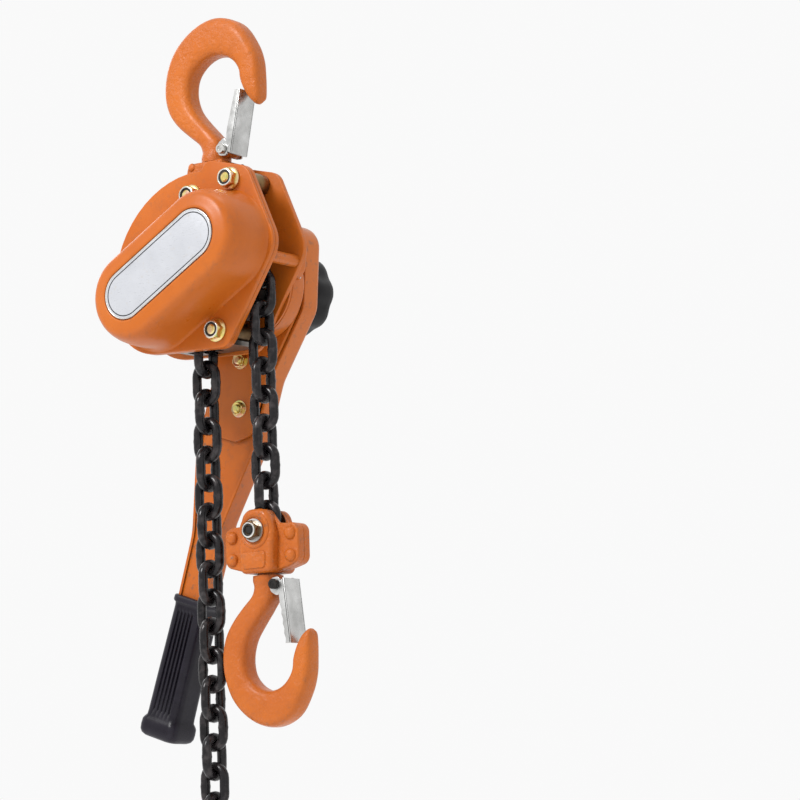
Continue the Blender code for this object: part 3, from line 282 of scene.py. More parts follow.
# ------------------------------------------------------------------ shape helpers
def rounded(corners, steps=10):
    """Corner points (x, z, radius) as an outline whose corners are arcs."""
    outline = []
    count = len(corners)
    for i, (x, z, radius) in enumerate(corners):
        here = Vector((x, z))
        back = (Vector(corners[i - 1][:2]) - here).normalized()
        ahead = (Vector(corners[(i + 1) % count][:2]) - here).normalized()
        if radius <= 0.0:
            outline.append((x, z))
            continue
        half = back.angle(ahead) / 2
        reach = radius / math.tan(half)
        centre = here + (back + ahead).normalized() * radius / math.sin(half)
        first = here + back * reach - centre
        last = here + ahead * reach - centre
        turn = first.angle_signed(last)
        turns = max(3, round(steps * abs(turn) / (math.pi / 2)))
        for k in range(turns + 1):
            outline.append(tuple(centre + Matrix.Rotation(-turn * k / turns, 2) @ first))
    return outline


def around(count):
    """Angles of this many even steps round a circle."""
    return [2 * math.pi * k / count for k in range(count)]


def squared(value, power):
    """A sine or cosine pushed towards 1 by a power below 1, so that a circle becomes squarer."""
    return math.copysign(abs(value) ** power, value)


def ring(radius, count=48, centre=(0.0, 0.0)):
    return [(centre[0] + radius * math.cos(a), centre[1] + radius * math.sin(a)) for a in around(count)]


def stadium(a, b, radius, steps=24):
    """Oblong with round ends about a and b."""
    along = math.atan2(b[1] - a[1], b[0] - a[0])
    outline = []
    for end, first in ((b, along - math.pi / 2), (a, along + math.pi / 2)):
        for k in range(steps + 1):
            angle = first + math.pi * k / steps
            outline.append((end[0] + radius * math.cos(angle), end[1] + radius * math.sin(angle)))
    return outline


def area(outline):
    total = 0.0
    for (x1, z1), (x2, z2) in zip(outline, outline[1:] + outline[:1]):
        total += x1 * z2 - x2 * z1
    return total / 2


def inset(outline, distance):
    """The outline moved inwards by distance; a negative distance moves it outwards."""
    sign = 1.0 if area(outline) > 0 else -1.0
    moved = []
    count = len(outline)
    for k in range(count):
        here = Vector(outline[k])
        back = here - Vector(outline[k - 1])
        ahead = Vector(outline[(k + 1) % count]) - here
        if back.length < 1e-6:
            back = here - Vector(outline[k - 2])
        if ahead.length < 1e-6:
            ahead = Vector(outline[(k + 2) % count]) - here
        n1 = Vector((-back.y, back.x)).normalized()
        n2 = Vector((-ahead.y, ahead.x)).normalized()
        mid = (n1 + n2).normalized()
        moved.append(tuple(here + mid * sign * distance / max(0.5, mid.dot(n1))))
    return moved


def finish(name, bm, sharp=38.0):
    """Object from a bmesh; edges that turn by more than sharp, in degrees, aren't smoothed."""
    bmesh.ops.remove_doubles(bm, verts=bm.verts, dist=1e-6)
    bmesh.ops.recalc_face_normals(bm, faces=bm.faces)
    data = bpy.data.meshes.new(name)
    bm.to_mesh(data)
    bm.free()
    data.shade_smooth()
    data.set_sharp_from_angle(angle=math.radians(sharp))
    obj = bpy.data.objects.new(name, data)
    bpy.context.scene.collection.objects.link(obj)
    return obj


def skin(bm, rows, closed=False):
    """Faces between neighbouring rows of vertices, and from the last row to the first if closed."""
    count = len(rows[0])
    for low, high in zip(rows, rows[1:] + rows[:1] if closed else rows[1:]):
        for k in range(count):
            bm.faces.new((low[k], low[(k + 1) % count], high[(k + 1) % count], high[k]))


def slab(name, loops, y0, y1, front=0.5, back=0.5, steps=4, sharp=38.0):
    """Flat piece between y0 and y1: an edge and holes, rounded by front at y0 and by back at y1."""
    bm = bmesh.new()
    levels = []
    for k in range(steps + 1):
        angle = math.pi / 2 * k / steps
        levels.append((y0 + front * (1 - math.sin(angle)), front * (1 - math.cos(angle))))
    levels.reverse()
    for k in range(steps + 1):
        angle = math.pi / 2 * k / steps
        levels.append((y1 - back * (1 - math.sin(angle)), back * (1 - math.cos(angle))))
    ends = ([], [])
    for index, loop in enumerate(loops):
        rows = []
        for y, shrink in levels:
            line = inset(loop, shrink if index == 0 else -shrink) if shrink > 0 else loop
            rows.append([bm.verts.new(W(x, y, z)) for x, z in line])
        skin(bm, rows)
        count = len(loop)
        for end, row in zip(ends, (rows[0], rows[-1])):
            end += [bm.edges.get((row[k], row[(k + 1) % count])) for k in range(count)]
    for end in ends:
        bmesh.ops.triangle_fill(bm, edges=end, use_beauty=True)
    return finish(name, bm, sharp)


def lathe(name, profile, at, axis="Y", steps=48, sharp=38.0, closed=False):
    """Turned piece; profile is (radius, height) along the axis, closed if it comes back to its start."""
    bm = bmesh.new()
    rows = []
    for radius, height in profile:
        row = []
        for angle in around(steps):
            a, b = radius * math.cos(angle), radius * math.sin(angle)
            spot = (at[0] + a, height, at[1] + b) if axis == "Y" else (at[0] + a, b, at[1] + height)
            row.append(bm.verts.new(W(*spot)))
        rows.append(row)
    skin(bm, rows)
    for row in () if closed else (rows[0], rows[-1]):
        if (row[0].co - row[steps // 2].co).length > 1e-5:
            bm.faces.new(row)
    return finish(name, bm, sharp)


def rod(at, radius, low, high, axis="Y", steps=48):
    """Plain cylinder, for cutting a bore."""
    return lathe("room", [(0.0, low), (radius, low), (radius, high), (0.0, high)], at, axis, steps)


def loft(name, rings, cap_first=True, cap_last=True, sharp=38.0):
    """Skin through rings of points in metres."""
    bm = bmesh.new()
    rows = [[bm.verts.new(point) for point in points] for points in rings]
    skin(bm, rows)
    count = len(rows[0])
    for wanted, row in ((cap_first, rows[0]), (cap_last, rows[-1])):
        if wanted:
            bmesh.ops.triangle_fill(bm, edges=[bm.edges.get((row[k - 1], row[k])) for k in range(count)])
    return finish(name, bm, sharp)


def curve_through(points, per=6, closed=False):
    """Catmull-Rom points through the given vectors."""
    out = []
    count = len(points)
    spans = count if closed else count - 1
    for i in range(spans):
        p0 = points[(i - 1) % count] if closed or i > 0 else points[0] * 2 - points[1]
        p1, p2 = points[i], points[(i + 1) % count]
        p3 = points[(i + 2) % count] if closed or i + 2 < count else points[-1] * 2 - points[-2]
        for k in range(per):
            t = k / per
            out.append(0.5 * ((2 * p1) + (p2 - p0) * t + (2 * p0 - 5 * p1 + 4 * p2 - p3) * t * t
                              + (3 * p1 - p0 - 3 * p2 + p3) * t ** 3))
    if not closed:
        out.append(points[-1])
    return out


def tube(name, path, radius, sides=10, closed=False):
    """Round wire along a path of points in metres."""
    bm = bmesh.new()
    rows = []
    count = len(path)
    normal = None
    for k in range(count):
        before = path[k - 1] if closed or k > 0 else path[k]
        after = path[(k + 1) % count] if closed or k + 1 < count else path[k]
        tangent = (after - before).normalized()
        if normal is None:
            normal = tangent.orthogonal().normalized()
        normal = (normal - tangent * normal.dot(tangent)).normalized()
        other = tangent.cross(normal)
        rows.append([
            bm.verts.new(path[k] + (normal * math.cos(a) + other * math.sin(a)) * radius * MM)
            for a in around(sides)
        ])
    skin(bm, rows, closed)
    if not closed:
        bm.faces.new(rows[0])
        bm.faces.new(rows[-1])
    return finish(name, bm, 60.0)


def block(name, low, high, bevel=0.4):
    """Box between two corners with rounded edges."""
    bm = bmesh.new()
    bmesh.ops.create_cube(bm, size=1.0)
    size, middle = Vector(high) - Vector(low), (Vector(high) + Vector(low)) / 2
    for vert in bm.verts:
        vert.co = W(*(middle[i] + vert.co[i] * size[i] for i in range(3)))
    if bevel:
        bmesh.ops.bevel(bm, geom=bm.edges[:], offset=bevel * MM, segments=3, profile=0.5, affect="EDGES")
    return finish(name, bm)


def cut(obj, other):
    """Cuts other out of obj and deletes it."""
    modifier = obj.modifiers.new("cut", "BOOLEAN")
    modifier.operation, modifier.solver, modifier.object = "DIFFERENCE", "EXACT", other
    bpy.context.view_layer.update()
    data = bpy.data.meshes.new_from_object(obj.evaluated_get(bpy.context.evaluated_depsgraph_get()))
    obj.modifiers.clear()
    obj.data = data
    bpy.data.objects.remove(other, do_unlink=True)


def dress(obj, look, body, *nodes):
    """Gives a piece its look, the body it rides on and the CAD nodes that it stands for."""
    obj.data.materials.clear()
    obj.data.materials.append(LOOKS[look])
    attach(obj, body)
    if nodes:
        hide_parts(*nodes)
    return obj


def turned(name, profile, at, look, body, *nodes, **how):
    return dress(lathe(name, profile, at, **how), look, body, *nodes)


# ------------------------------------------------------------------ fasteners
def hexagon(angle):
    """Distance from the middle to a hexagon's edge in this direction, where its corners are at 1."""
    step = math.pi / 3
    return math.cos(step / 2) / math.cos((angle % step) - step / 2)


def hex_piece(name, at, y_seat, y_top, radius, turn=0.0, bore=0.0):
    """Chamfered hexagon with a shallow bore in its top; radius is over the corners."""
    bm = bmesh.new()
    sign = 1.0 if y_top > y_seat else -1.0
    height = abs(y_top - y_seat)
    bore_depth = 0.5
    rows = []

    def add_row(y, reach):
        rows.append([
            bm.verts.new(W(at[0] + reach(a) * math.cos(a + turn), y, at[1] + reach(a) * math.sin(a + turn)))
            for a in around(72)
        ])

    for share, cone in (
        (0.0, 1.0), (0.10, 1.0), (0.62, 1.0), (0.74, 0.985), (0.86, 0.945), (0.95, 0.90), (1.0, 0.83),
    ):
        add_row(y_seat + sign * height * share, lambda a: radius * min(hexagon(a), cone))
    if bore:
        add_row(y_top - sign * bore_depth, lambda a: bore)
    skin(bm, rows)
    bm.faces.new(rows[0])
    bm.faces.new(rows[-1])
    return finish(name, bm, 28.0)


def thread(name, at, y0, y1, radius, pitch=1.25):
    """Screw end: a stack of rings with a domed tip at y1."""
    sign = 1.0 if y1 > y0 else -1.0
    profile = []
    turns = int(abs(y1 - y0) / pitch)
    for k in range(turns):
        base = y0 + sign * k * pitch
        profile += [(radius * 0.90, base), (radius, base + sign * pitch * 0.5)]
    profile += [(radius * 0.9, y1 - sign * 0.5), (radius * 0.72, y1), (0.0, y1 + sign * 0.01)]
    return lathe(name, profile, at, steps=28, sharp=30.0)


def dome(name, at, y_seat, height, radius, flat=0.35):
    """Rivet head."""
    profile = [(radius, y_seat)]
    for k in range(1, 8):
        angle = math.pi / 2 * k / 7
        profile.append((radius * (flat + (1 - flat) * math.cos(angle)), y_seat + height * math.sin(angle)))
    profile.append((0.0, y_seat + height))
    return lathe(name, profile, at, steps=36, sharp=50.0)


# ------------------------------------------------------------------ frame
def side_plates():
    """The two plates, what holds them apart, and the nuts on the cover."""
    for name, y0, y1 in (
        ("gear_side_plate", -PLATE_OUT, -PLATE_IN), ("brake_side_plate", PLATE_IN, PLATE_OUT),
    ):
        loops = [rounded(PLATE_OUTLINE, 14)]
        loops += [ring(30.4, 64, (SHAFT_X, 0))] if y0 < 0 else [ring(17.4, 48, (SHAFT_X, 0))]
        dress(slab(name + "_skin", loops, y0, y1, 0.6, 0.6), "orange", "frame", name)
    for name, at in (("stay_upper", STAY_UPPER), ("stay_lower", STAY_LOWER)):
        profile = [
            (0, 21.9), (4.2, 21.7), (5.6, 20.6), (6.5, 18.9), (4, 18.8), (4, 14.3), (7.4, 14.2), (8, 13.4),
            (8, 6), (7.9, 5.6), (7.9, -5.6), (8, -6), (8, -13.4), (7.4, -14.2), (4, -14.3), (4, -19),
        ]
        turned(name + "_skin", profile, at, "brown", "frame", name)
    turned("yoke_pin_skin", [
        (0, 21.9), (5.2, 21.6), (6.8, 20.4), (7.6, 18.9), (5.2, 18.8), (5.2, -18.8), (4, -18.9), (4, -22),
    ], YOKE_PIN, "steel", "frame", "top_yoke_pin")
    for name, at, turn in (
        ("cover_nut_upper", STAY_UPPER, 0.3), ("cover_nut_lower", STAY_LOWER, 0.1),
        ("cover_nut_yoke", YOKE_PIN, 0.6),
    ):
        nut = hex_piece(name + "_hex", at, NUT_SEAT, NUT_TOP, 7.4, turn, 4.5)
        dress(nut, "yellow", "frame", name)
        turned(name + "_flange", [
            (4.5, NUT_SEAT), (8.3, -22.15), (8.3, -23.1), (7.9, -23.6), (6.3, -24.3), (4.5, -24.4),
        ], at, "yellow", "frame")
        # Painted highlight: a bright ring stands for the lit chamfer of the nut's face.
        turned(name + "_ring", [
            (6.1, -28.7), (6.1, -29.2), (5.7, -29.4), (5.2, -29.3), (5, -28.7),
        ], at, "bright", "frame")
        # Painted shade: a dark disc stands for the shaded recess inside the bright ring.
        gap = [(5.1, -28.6), (5, -28.9), (3.5, -28.9), (3.4, -28.6)]
        turned(name + "_gap", gap, at, "dark", "frame")
        dress(thread(name + "_end", at, -22, -29.6, 3.6), "yellow", "frame")


# The gear housing is the label's oblong at these levels of (radius, y), from the flange to the label.
HOUSING = [
    (37.2, -21.75), (37.1, -22), (36.3, -22.9), (35.7, -24.4), (35.3, -27), (35, -31), (34.8, -38),
    (34.4, -44), (33.7, -49), (32.7, -53), (31.6, -56), (30.4, -58), (29, -59.4), (27.4, -60.2),
    (25.6, -60.7), (23.6, -61.1), (21.6, -61.6), (20.4, -61.95), (19.4, -62), (18.8, -61.8), (18.5, -61.3),
    (18.5, -60.6),
]


def gear_cover():
    def level(radius, y, steps):
        return [W(x, y, z) for x, z in stadium(BULGE_A, BULGE_B, radius, steps)]

    def label_piece(name, radii, y0, y1, front, back, look, *nodes, steps=4):
        loops = [stadium(BULGE_A, BULGE_B, radius) for radius in radii]
        dress(slab(name, loops, y0, y1, front, back, steps), look, "frame", *nodes)

    loops = [rounded(PLATE_OUTLINE, 14), stadium(BULGE_A, BULGE_B, 33.2, 28)]
    flange = slab("gear_cover_flange", loops, FLANGE_FRONT, -18.8, 0.9, 0.5)
    dress(flange, "orange", "frame", "gear_cover")
    rings = [level(radius, y, 40) for radius, y in HOUSING]
    dress(loft("gear_cover_housing", rings, cap_first=False), "orange", "frame")
    inner = [(34, -21.7), (33, -24), (32.4, -30), (32, -44), (30, -51), (26, -55.6), (19, -57.6)]
    rings = [level(radius, y, 24) for radius, y in inner]
    dress(loft("gear_cover_inside", rings, cap_first=False), "dark", "frame")
    label_piece("cover_label_face", (LABEL_RADIUS,), LABEL_FRONT, -61, 0.3, 0.1, "label", "cover_label")
    label_piece("cover_label_rim", (LABEL_RADIUS, 16.9), -62.2, -61.6, 0.3, 0.1, "bright")
    label_piece("cover_label_line", (15.7, 14.95), -61.96, -61.6, 0.02, 0.02, "ink", steps=1)


def brake_cover():
    """Round cup beside a cast pad, with room above for the pawls, and the gasket and screws of the pad."""
    at = (SHAFT_X, 0)

    def pawl_room():
        return block("room", (-14.5, 17, 31), (37.5, 33.6, 60), 0)

    cup = lathe("brake_cup", [
        (39, 18.8), (39, 20.4), (38.4, 20.8), (38.4, 21.3), (39, 21.7), (39, 33.4), (38.7, 34.6),
        (37.9, 35.5), (36.7, 36), (27, 36), (25.6, 35.6), (25, 34.8), (25, 33), (36, 33), (36.2, 32.4),
        (36.2, 18.8), (39, 18.8),
    ], at, steps=96, closed=True)
    cut(cup, pawl_room())
    dress(cup, "orange", "frame", "brake_cover")
    edge = rounded([(4, 34, 8), (36, 46, 8), (59, 28, 12), (56, 6, 10), (16, -30, 8)], 10)
    pad = slab("brake_pad", [edge], 18.81, 29, 0.4, 2.2, 5)
    cut(pad, pawl_room())
    cut(pad, rod(at, 36.2, 17, 33, steps=64))
    cut(pad, rod(STAY_LOWER, 7.4, 17, 23, steps=32))
    dress(pad, "orange", "frame")
    dress(slab("brake_gasket", [inset(edge, -0.4)], 18.6, 19.4, 0.1, 0.1), "zinc", "frame")
    screw = [(0, 29.2), (1.8, 29.2), (1.8, 31), (3.4, 31), (3.9, 30.5), (3.9, 28.9)]
    for name, spot in (("pad_screw_high", (48, 26)), ("pad_screw_low", (46.5, 4))):
        turned(name, screw, spot, "zinc", "frame", steps=36)


def link_mesh(bm, middle, along, across, top_gap=0, end_gap=0, seed=0):
    """One oval link of round wire, with the bulge of its weld on one straight side."""
    bend = (LINK_WIDTH - WIRE) / 2
    reach = PITCH / 2 + WIRE / 2 - bend - WIRE_SPARE
    path = []
    arcs = 12
    for sign, spare in ((1, end_gap), (-1, top_gap)):
        for k in range(arcs + 1):
            angle = math.pi * k / arcs
            path.append((sign * (reach + spare + bend * math.sin(angle)), sign * bend * math.cos(angle)))
        for k in range(1, 6):
            far = sign * (reach + spare)
            path.append((far - 2 * far * k / 6, -sign * bend))
    third = along.cross(across)
    rows = []
    count = len(path)
    for k, (u, w) in enumerate(path):
        back = Vector((u - path[k - 1][0], w - path[k - 1][1])).normalized()
        ahead = Vector((path[(k + 1) % count][0] - u, path[(k + 1) % count][1] - w)).normalized()
        tangent = (back + ahead).normalized()
        normal = Vector((-tangent[1], tangent[0]))
        weld = WELD * math.exp(-((u / 1.5) ** 2)) if w < 0 else 0
        row = []
        for angle in around(14):
            radius = WIRE / 2 - WIRE_SPARE + weld + WIRE_RIPPLE * math.sin(3 * angle + seed + k)
            out = radius * math.cos(angle)
            flat = along * (u + normal[0] * out) + across * (w + normal[1] * out)
            row.append(bm.verts.new(middle + (flat + third * radius * math.sin(angle)) * MM))
        rows.append(row)
    skin(bm, rows, closed=True)


def chain(name, joints, first_wide, body, node, loose_top, loose_end):
    """Rigid run of links between joints, every other one turned; its end links may be longer or shorter."""
    bm = bmesh.new()
    last = len(joints) - 2
    for k, (a, b) in enumerate(zip(joints, joints[1:])):
        along = (b - a).normalized()
        side = Vector((0, 1, 0))
        across = side if (k % 2 == 0) == first_wide else along.cross(side).normalized()
        if k % 4 > 1:
            across = -across
        top_gap, end_gap = loose_top if k == 0 else 0, loose_end if k == last else 0
        link_mesh(bm, (a + b) / 2, along, across, top_gap, end_gap, k)
    dress(finish(name, bm, 60), "chain", body, node)


def chains():
    load = [W(LOAD_X, 0, LOAD_TOP - PITCH * k) for k in range(LOAD_LINKS + 1)]
    chain("load_links", load, False, "load_strand", "load_chain", 2.3, -0.2)
    start = math.asin(LOAD_TOP / SHEAVE_R)
    wrap = []
    for k in range(POCKETS + 1):
        angle = start + k * math.pi / POCKETS
        wrap.append(W(SHAFT_X + SHEAVE_R * math.cos(angle), 0, SHEAVE_R * math.sin(angle)))
    chain("sheave_links", wrap, True, "sheave", "chain_on_sheave", 0.2, 0.2)
    tail = [W(TAIL_X, 0, -LOAD_TOP - PITCH * k) for k in range(TAIL_LINKS + 1)]
    chain("tail_links", tail, True, "tail_strand", "tail_chain", 0.2, 0)
    radius, wire, drop = 11.5, 2.4, 8.2
    centre = tail[-1] + Vector((0, 0, -drop)) * MM
    path = [
        centre + Vector((0, radius * math.cos(a), radius * math.sin(a))) * MM
        for a in around(40)
    ]
    dress(tube("end_ring", path, wire, 12, True), "zinc", "tail_strand", "end_stop_ring")


# ------------------------------------------------------------------ hooks, yoke and bottom block
# Sections along the hook: its inner edge, its outer edge (x, z) from the collar, and half its thickness.
HOOK_RINGS = (
    ((10.7, 0), (-10.7, 0), 10.7), ((10.7, -4), (-10.7, -4), 10.7), ((9.6, -8), (-9.6, -8), 9.6),
    ((8.4, -15), (-11.4, -14), 9.4), ((2, -23.5), (-18.4, -21), 9.3), ((-6, -33.3), (-28, -31.4), 9.6),
    ((-13.5, -43.7), (-34.5, -42.3), 9.6), ((-17, -55.1), (-37, -56.1), 9.6),
    ((-16.1, -65.9), (-34.9, -72.5), 9.6), ((-11.5, -73.1), (-27.4, -88.2), 9.6),
    ((-4.3, -78.3), (-12.9, -100.8), 9.6), ((3.8, -80.2), (4.7, -105.8), 9.6),
    ((12.3, -78.2), (22, -99.3), 9.6), ((19, -73.3), (32.4, -84.4), 9.2), ((22.9, -66.6), (37.2, -71), 8.6),
    ((23.8, -59.4), (38.4, -58.2), 8.2), ((26.6, -51.6), (38.6, -48.6), 7.6),
    ((30.4, -44.8), (38.4, -42), 6.2), ((33.8, -40.4), (36.9, -39.3), 3.2),
)
# The top hook is a little lower on its inner and outer edges, and wider by this share.
TOP_LIFT, TOP_SPREAD = (2.9, 0.3), 0.12
LATCH_AT, LATCH_END, TOP_LATCH_REACH = (12.8, -7), -48.5, 4.3


def hook_place(x, z, up):
    place = Matrix.Translation(W(x, 0, z))
    if up:
        place = place @ Matrix.Rotation(math.pi, 4, "X")
    return place @ Matrix.Scale(MM, 4)


def hook(name, x, z, up, node):
    """Forged hook with its neck, latch and latch bolt, hanging from its collar, or turned over if up."""
    place = hook_place(x, z, up)
    inner, outer, thick = [], [], []
    for inner_at, outer_at, half in HOOK_RINGS:
        for line, (px, pz), lift in zip((inner, outer), (inner_at, outer_at), TOP_LIFT):
            share = min(1, max(0, (-pz - 8) / 20)) if up else 0
            line.append(Vector((px * (1 + TOP_SPREAD * share), 0, pz + lift * share)))
        thick.append(Vector((half, 0, 0)))
    per = 5
    inner, outer, thick = (curve_through(line, per) for line in (inner, outer, thick))
    rings = []
    for index, (a, b, t) in enumerate(zip(inner, outer, thick)):
        share = min(1, max(0, (index / per - 1.2) / 3))
        power = 1 - 0.42 * share
        row = []
        for angle in around(40):
            across, lift = squared(math.cos(angle), power), squared(math.sin(angle), power)
            row.append(place @ ((a + b) / 2 + (b - a) / 2 * across + Vector((0, t.x * lift, 0))))
        rings.append(row)
    tip = place @ ((inner[-1] + outer[-1]) / 2)
    onward = place.to_3x3() @ Vector((0.35, 0, 0.9))
    last = rings[-1]
    for share, push in ((0.7, 0.5), (0.35, 0.85)):
        rings.append([tip + (point - tip) * share + onward * push for point in last])
    body = loft(name + "_forging", rings, sharp=60)
    dress(body, "forged", node, node)
    sign = -1 if up else 1
    pivot = (x + LATCH_AT[0], z + sign * LATCH_AT[1])
    turned(name + "_lug", [
        (0, -7.4), (4, -7.4), (4.9, -6.6), (5, -5.8), (5, 5.8), (4.9, 6.6), (4, 7.4), (0, 7.4),
    ], pivot, "forged", node, steps=36)
    neck = [(0, 12), (9.6, 12), (10.4, 11.2), (10.4, 8), (7.4, 7.3), (7.4, 0.4), (9.2, 0.2), (9.6, -0.6)]
    if up:
        neck = [(r, -h) for r, h in neck]
    turned(name + "_neck", neck, (x, z), "forged", node, axis="Z")
    turned(name + "_latch_bolt", [
        (0, -12.6), (1.9, -12.6), (2, -13), (3.3, -13), (3.6, -12.6), (3.6, -9.9), (2.1, -9.9), (2.1, 9.9),
        (3.3, 9.9), (3.3, 11.8), (2.4, 12.2), (0, 12.2),
    ], pivot, "bright" if up else "dark", node, node.replace("hook", "latch_bolt"), steps=36)
    latch(node.replace("hook", "latch"), x, z, sign, up)


def latch(name, x, z, sign, up):
    """Pressed channel: a web with two flanges whose ears sit on the pivot, and its bent wire spring."""
    far = 25.5 + (TOP_LATCH_REACH if up else 0)
    slope = (far - 20) / (LATCH_END + 1)

    def face(pz):
        """Outer face of the web at this height."""
        return 20 + slope * (pz + 1)

    def placed(points):
        return [(x + px, z + sign * pz) for px, pz in points]

    pivot = (x + LATCH_AT[0], z + sign * LATCH_AT[1])
    heights = (-3, -12, -30, LATCH_END)
    strip = [(face(pz), pz) for pz in heights] + [(face(pz) - 1.5, pz) for pz in reversed(heights)]
    dress(slab(name + "_web", [placed(strip)], -9.5, 9.5, 0.5, 0.5, 3), "zinc", name, name)
    edge = [(face(-3), -3), (face(-30), -30), (face(LATCH_END), LATCH_END)]
    back = [(far - 4.7, LATCH_END)]
    teeth = 9
    for k in range(1, teeth):
        share = k / teeth
        bite = 0.8 if k % 2 and not up else 0
        back.append((far - 4.7 + (16.2 - far + 4.7) * share + bite, LATCH_END + (-18 - LATCH_END) * share))
    ears = rounded([(15.4, -16, 2), (8.2, -11.6, 4), (8.2, -2.6, 4), (17.5, -1.6, 2.5)], 6)
    outline = placed(edge + back + ears)
    for tag, y0, y1 in (("front", -9.5, -8.1), ("rear", 8.1, 9.5)):
        dress(slab(f"{name}_{tag}", [outline, ring(2.3, 24, pivot)], y0, y1, 0.25, 0.25, 3), "zinc", name)
    wire = [(3.4, 6.6, -1), (4, 6.4, -4), (6, 6, -12), (7.6, 5, -20), (7.8, 2.6, -24), (7.8, 0, -24.6)]
    wire += [(px, -py, pz) for px, py, pz in reversed(wire[:-1])]
    path = [W(pivot[0] + px, py, pivot[1] + sign * pz) for px, py, pz in wire]
    dress(tube(name + "_spring", curve_through(path, 6), 0.55, 8), "bright", name)


def top_yoke():
    corners = [
        (-17, 88.1, 6), (16.5, 88.1, 6), (16.5, 76, 5), (6, 70, 4), (6, 50, 11.5), (-18, 50, 11.5),
        (-18, 76, 6),
    ]
    for name, y0, y1, round_front, round_back in (
        ("top_yoke_front", -13.5, -0.15, 2.2, 0.3), ("top_yoke_rear", 0.15, 13.5, 0.3, 2.2),
    ):
        half = slab(name + "_forging", [rounded(corners, 8)], y0, y1, round_front, round_back, 5)
        shank = [(0, 76), (11.2, 76), (11.2, 82.1), (8.1, 82.1), (8.1, 95), (0, 95)]
        cut(half, lathe("room", shank, (0, 0), "Z", 48))
        cut(half, rod(YOKE_PIN, 5.5, -20, 20, steps=40))
        dress(half, "forged", "top_yoke", name)
    for name, x in (("top_yoke_rivet_tail", -12.4), ("top_yoke_rivet_load", 12.4)):
        turned(name + "_head", [
            (0, -14.6), (1.6, -14.4), (3, -13.6), (3.2, -13.2), (2.1, -13), (2.1, 13), (3.2, 13.2),
            (3, 13.6), (1.6, 14.4), (0, 14.6),
        ], (x, 85), "forged", "top_yoke", name, steps=32)
    hook("top_hook", 0, HOOK_COLLAR, True, "top_hook")


RIVETS = ((-25.3, -3), (-25.3, -18.5), (25.3, -3), (25.3, -18.5))


def bottom_block():
    x0, z0 = LOAD_X, BLOCK_PIN

    def at(points):
        return [(x0 + x, z0 + z) for x, z in points]

    flange = at(rounded([
        (-8.6, 13.8, 4), (8.6, 13.8, 4), (16.2, 4.4, 3), (32, 4.4, 6.5), (32, -23.4, 6.5), (14, -28.2, 8),
        (-14, -28.2, 8), (-32, -23.4, 6.5), (-32, 4.4, 6.5), (-16.2, 4.4, 3),
    ], 8))
    hump = at(rounded([
        (-10, 15.4, 9), (10, 15.4, 9), (15.5, -2, 6), (13.7, -29.7, 4), (-13.7, -29.7, 4), (-15.5, -2, 6),
    ], 8))
    pad = at(rounded([(-11.4, -14.6, 2.4), (9.4, -14.6, 2.4), (9, -26.6, 2.4), (-11, -26.6, 2.4)], 6))

    def half_slab(name, outline, sign, outside, parting, bevel, flat, steps=4):
        """Slab from the outer face to the parting face, on the side that sign gives."""
        if sign < 0:
            return slab(name, [outline], -outside, -parting, bevel, flat, steps)
        return slab(name, [outline], parting, outside, flat, bevel, steps)

    def room_for_chain_and_hook(piece):
        funnel = at([(-13.4, -13), (13.4, -13), (18.5, 25), (-18.5, 25)])
        cut(piece, slab("room", [funnel], -4.8, 4.8, 0, 0, 1))
        cut(piece, block("room", (x0 - 6.9, -12.6, z0 + 7.6), (x0 + 6.9, 12.6, z0 + 40), 0))
        cut(piece, rod((x0, z0), 11.2, -24.4, -18.2, "Z"))
        cut(piece, rod((x0, z0), 8.1, -40, -22, "Z", 40))

    for name, sign in (("block_front", -1), ("block_rear", 1)):
        wing = half_slab(name + "_wing", flange, sign, 7.3, 0.15, 1.4, 0.3, 5)
        middle = half_slab(name + "_hump", hump, sign, 15, 0.2, 3.6, 0.3, 8)
        for piece, nodes in ((wing, [name]), (middle, [])):
            room_for_chain_and_hook(piece)
            dress(piece, "forged", "bottom_block", *nodes)
        boss = [(4.3, 14.4), (9.2, 14.4), (9.4, 15.5), (10.4, 16.2), (11.6, 16.2), (12.6, 15.4), (12.9, 13.6)]
        boss = [(radius, sign * y) for radius, y in boss]
        turned(name + "_boss", boss, (x0, z0), "forged", "bottom_block", steps=64)
        dress(half_slab(name + "_pad", pad, sign, 16, 14, 0.9, 0.1), "forged", "bottom_block")
    for k, (x, z) in enumerate(RIVETS):
        name = f"block_rivet_{k + 1}"
        for part, seat, height, nodes in (("_head", -7.2, -3.4, [name]), ("_tail", 7.2, 3.4, [])):
            head = dome(name + part, (x0 + x, z0 + z), seat, height, 4.6, 0.15)
            dress(head, "forged", "bottom_block", *nodes)
    spot, body = (x0, z0), "bottom_block"
    turned("chain_pin_body", [
        (0, 19.2), (5.6, 19.2), (6.6, 18.4), (6.6, 16.4), (4.2, 16.3), (4.2, -15),
    ], spot, "steel", body, "chain_pin")
    nut = hex_piece("chain_pin_lock_nut", spot, -15.6, -21.6, 7, 0.35, 4.9)
    dress(nut, "brown", body, "chain_pin_nut")
    for name, look, profile in (
        ("chain_pin_washer", "zinc", [(4.3, -15.3), (8.2, -15.3), (8.4, -15.7), (8.2, -16.4), (4.3, -16.6)]),
        ("chain_pin_rim", "bright", [(5.5, -21), (5.5, -21.9), (5.1, -22.3), (4.5, -22.2), (4.4, -21)]),
        ("chain_pin_insert", "tag", [(4.5, -21), (4.5, -21.9), (4, -22), (3.4, -21.9), (3.3, -21)]),
    ):
        turned(name, profile, spot, look, body)
    dress(thread("chain_pin_end", spot, -15, -21.6, 3.3, 1), "dark", body)
    hook("bottom_hook", x0, BLOCK_COLLAR, False, "bottom_hook")


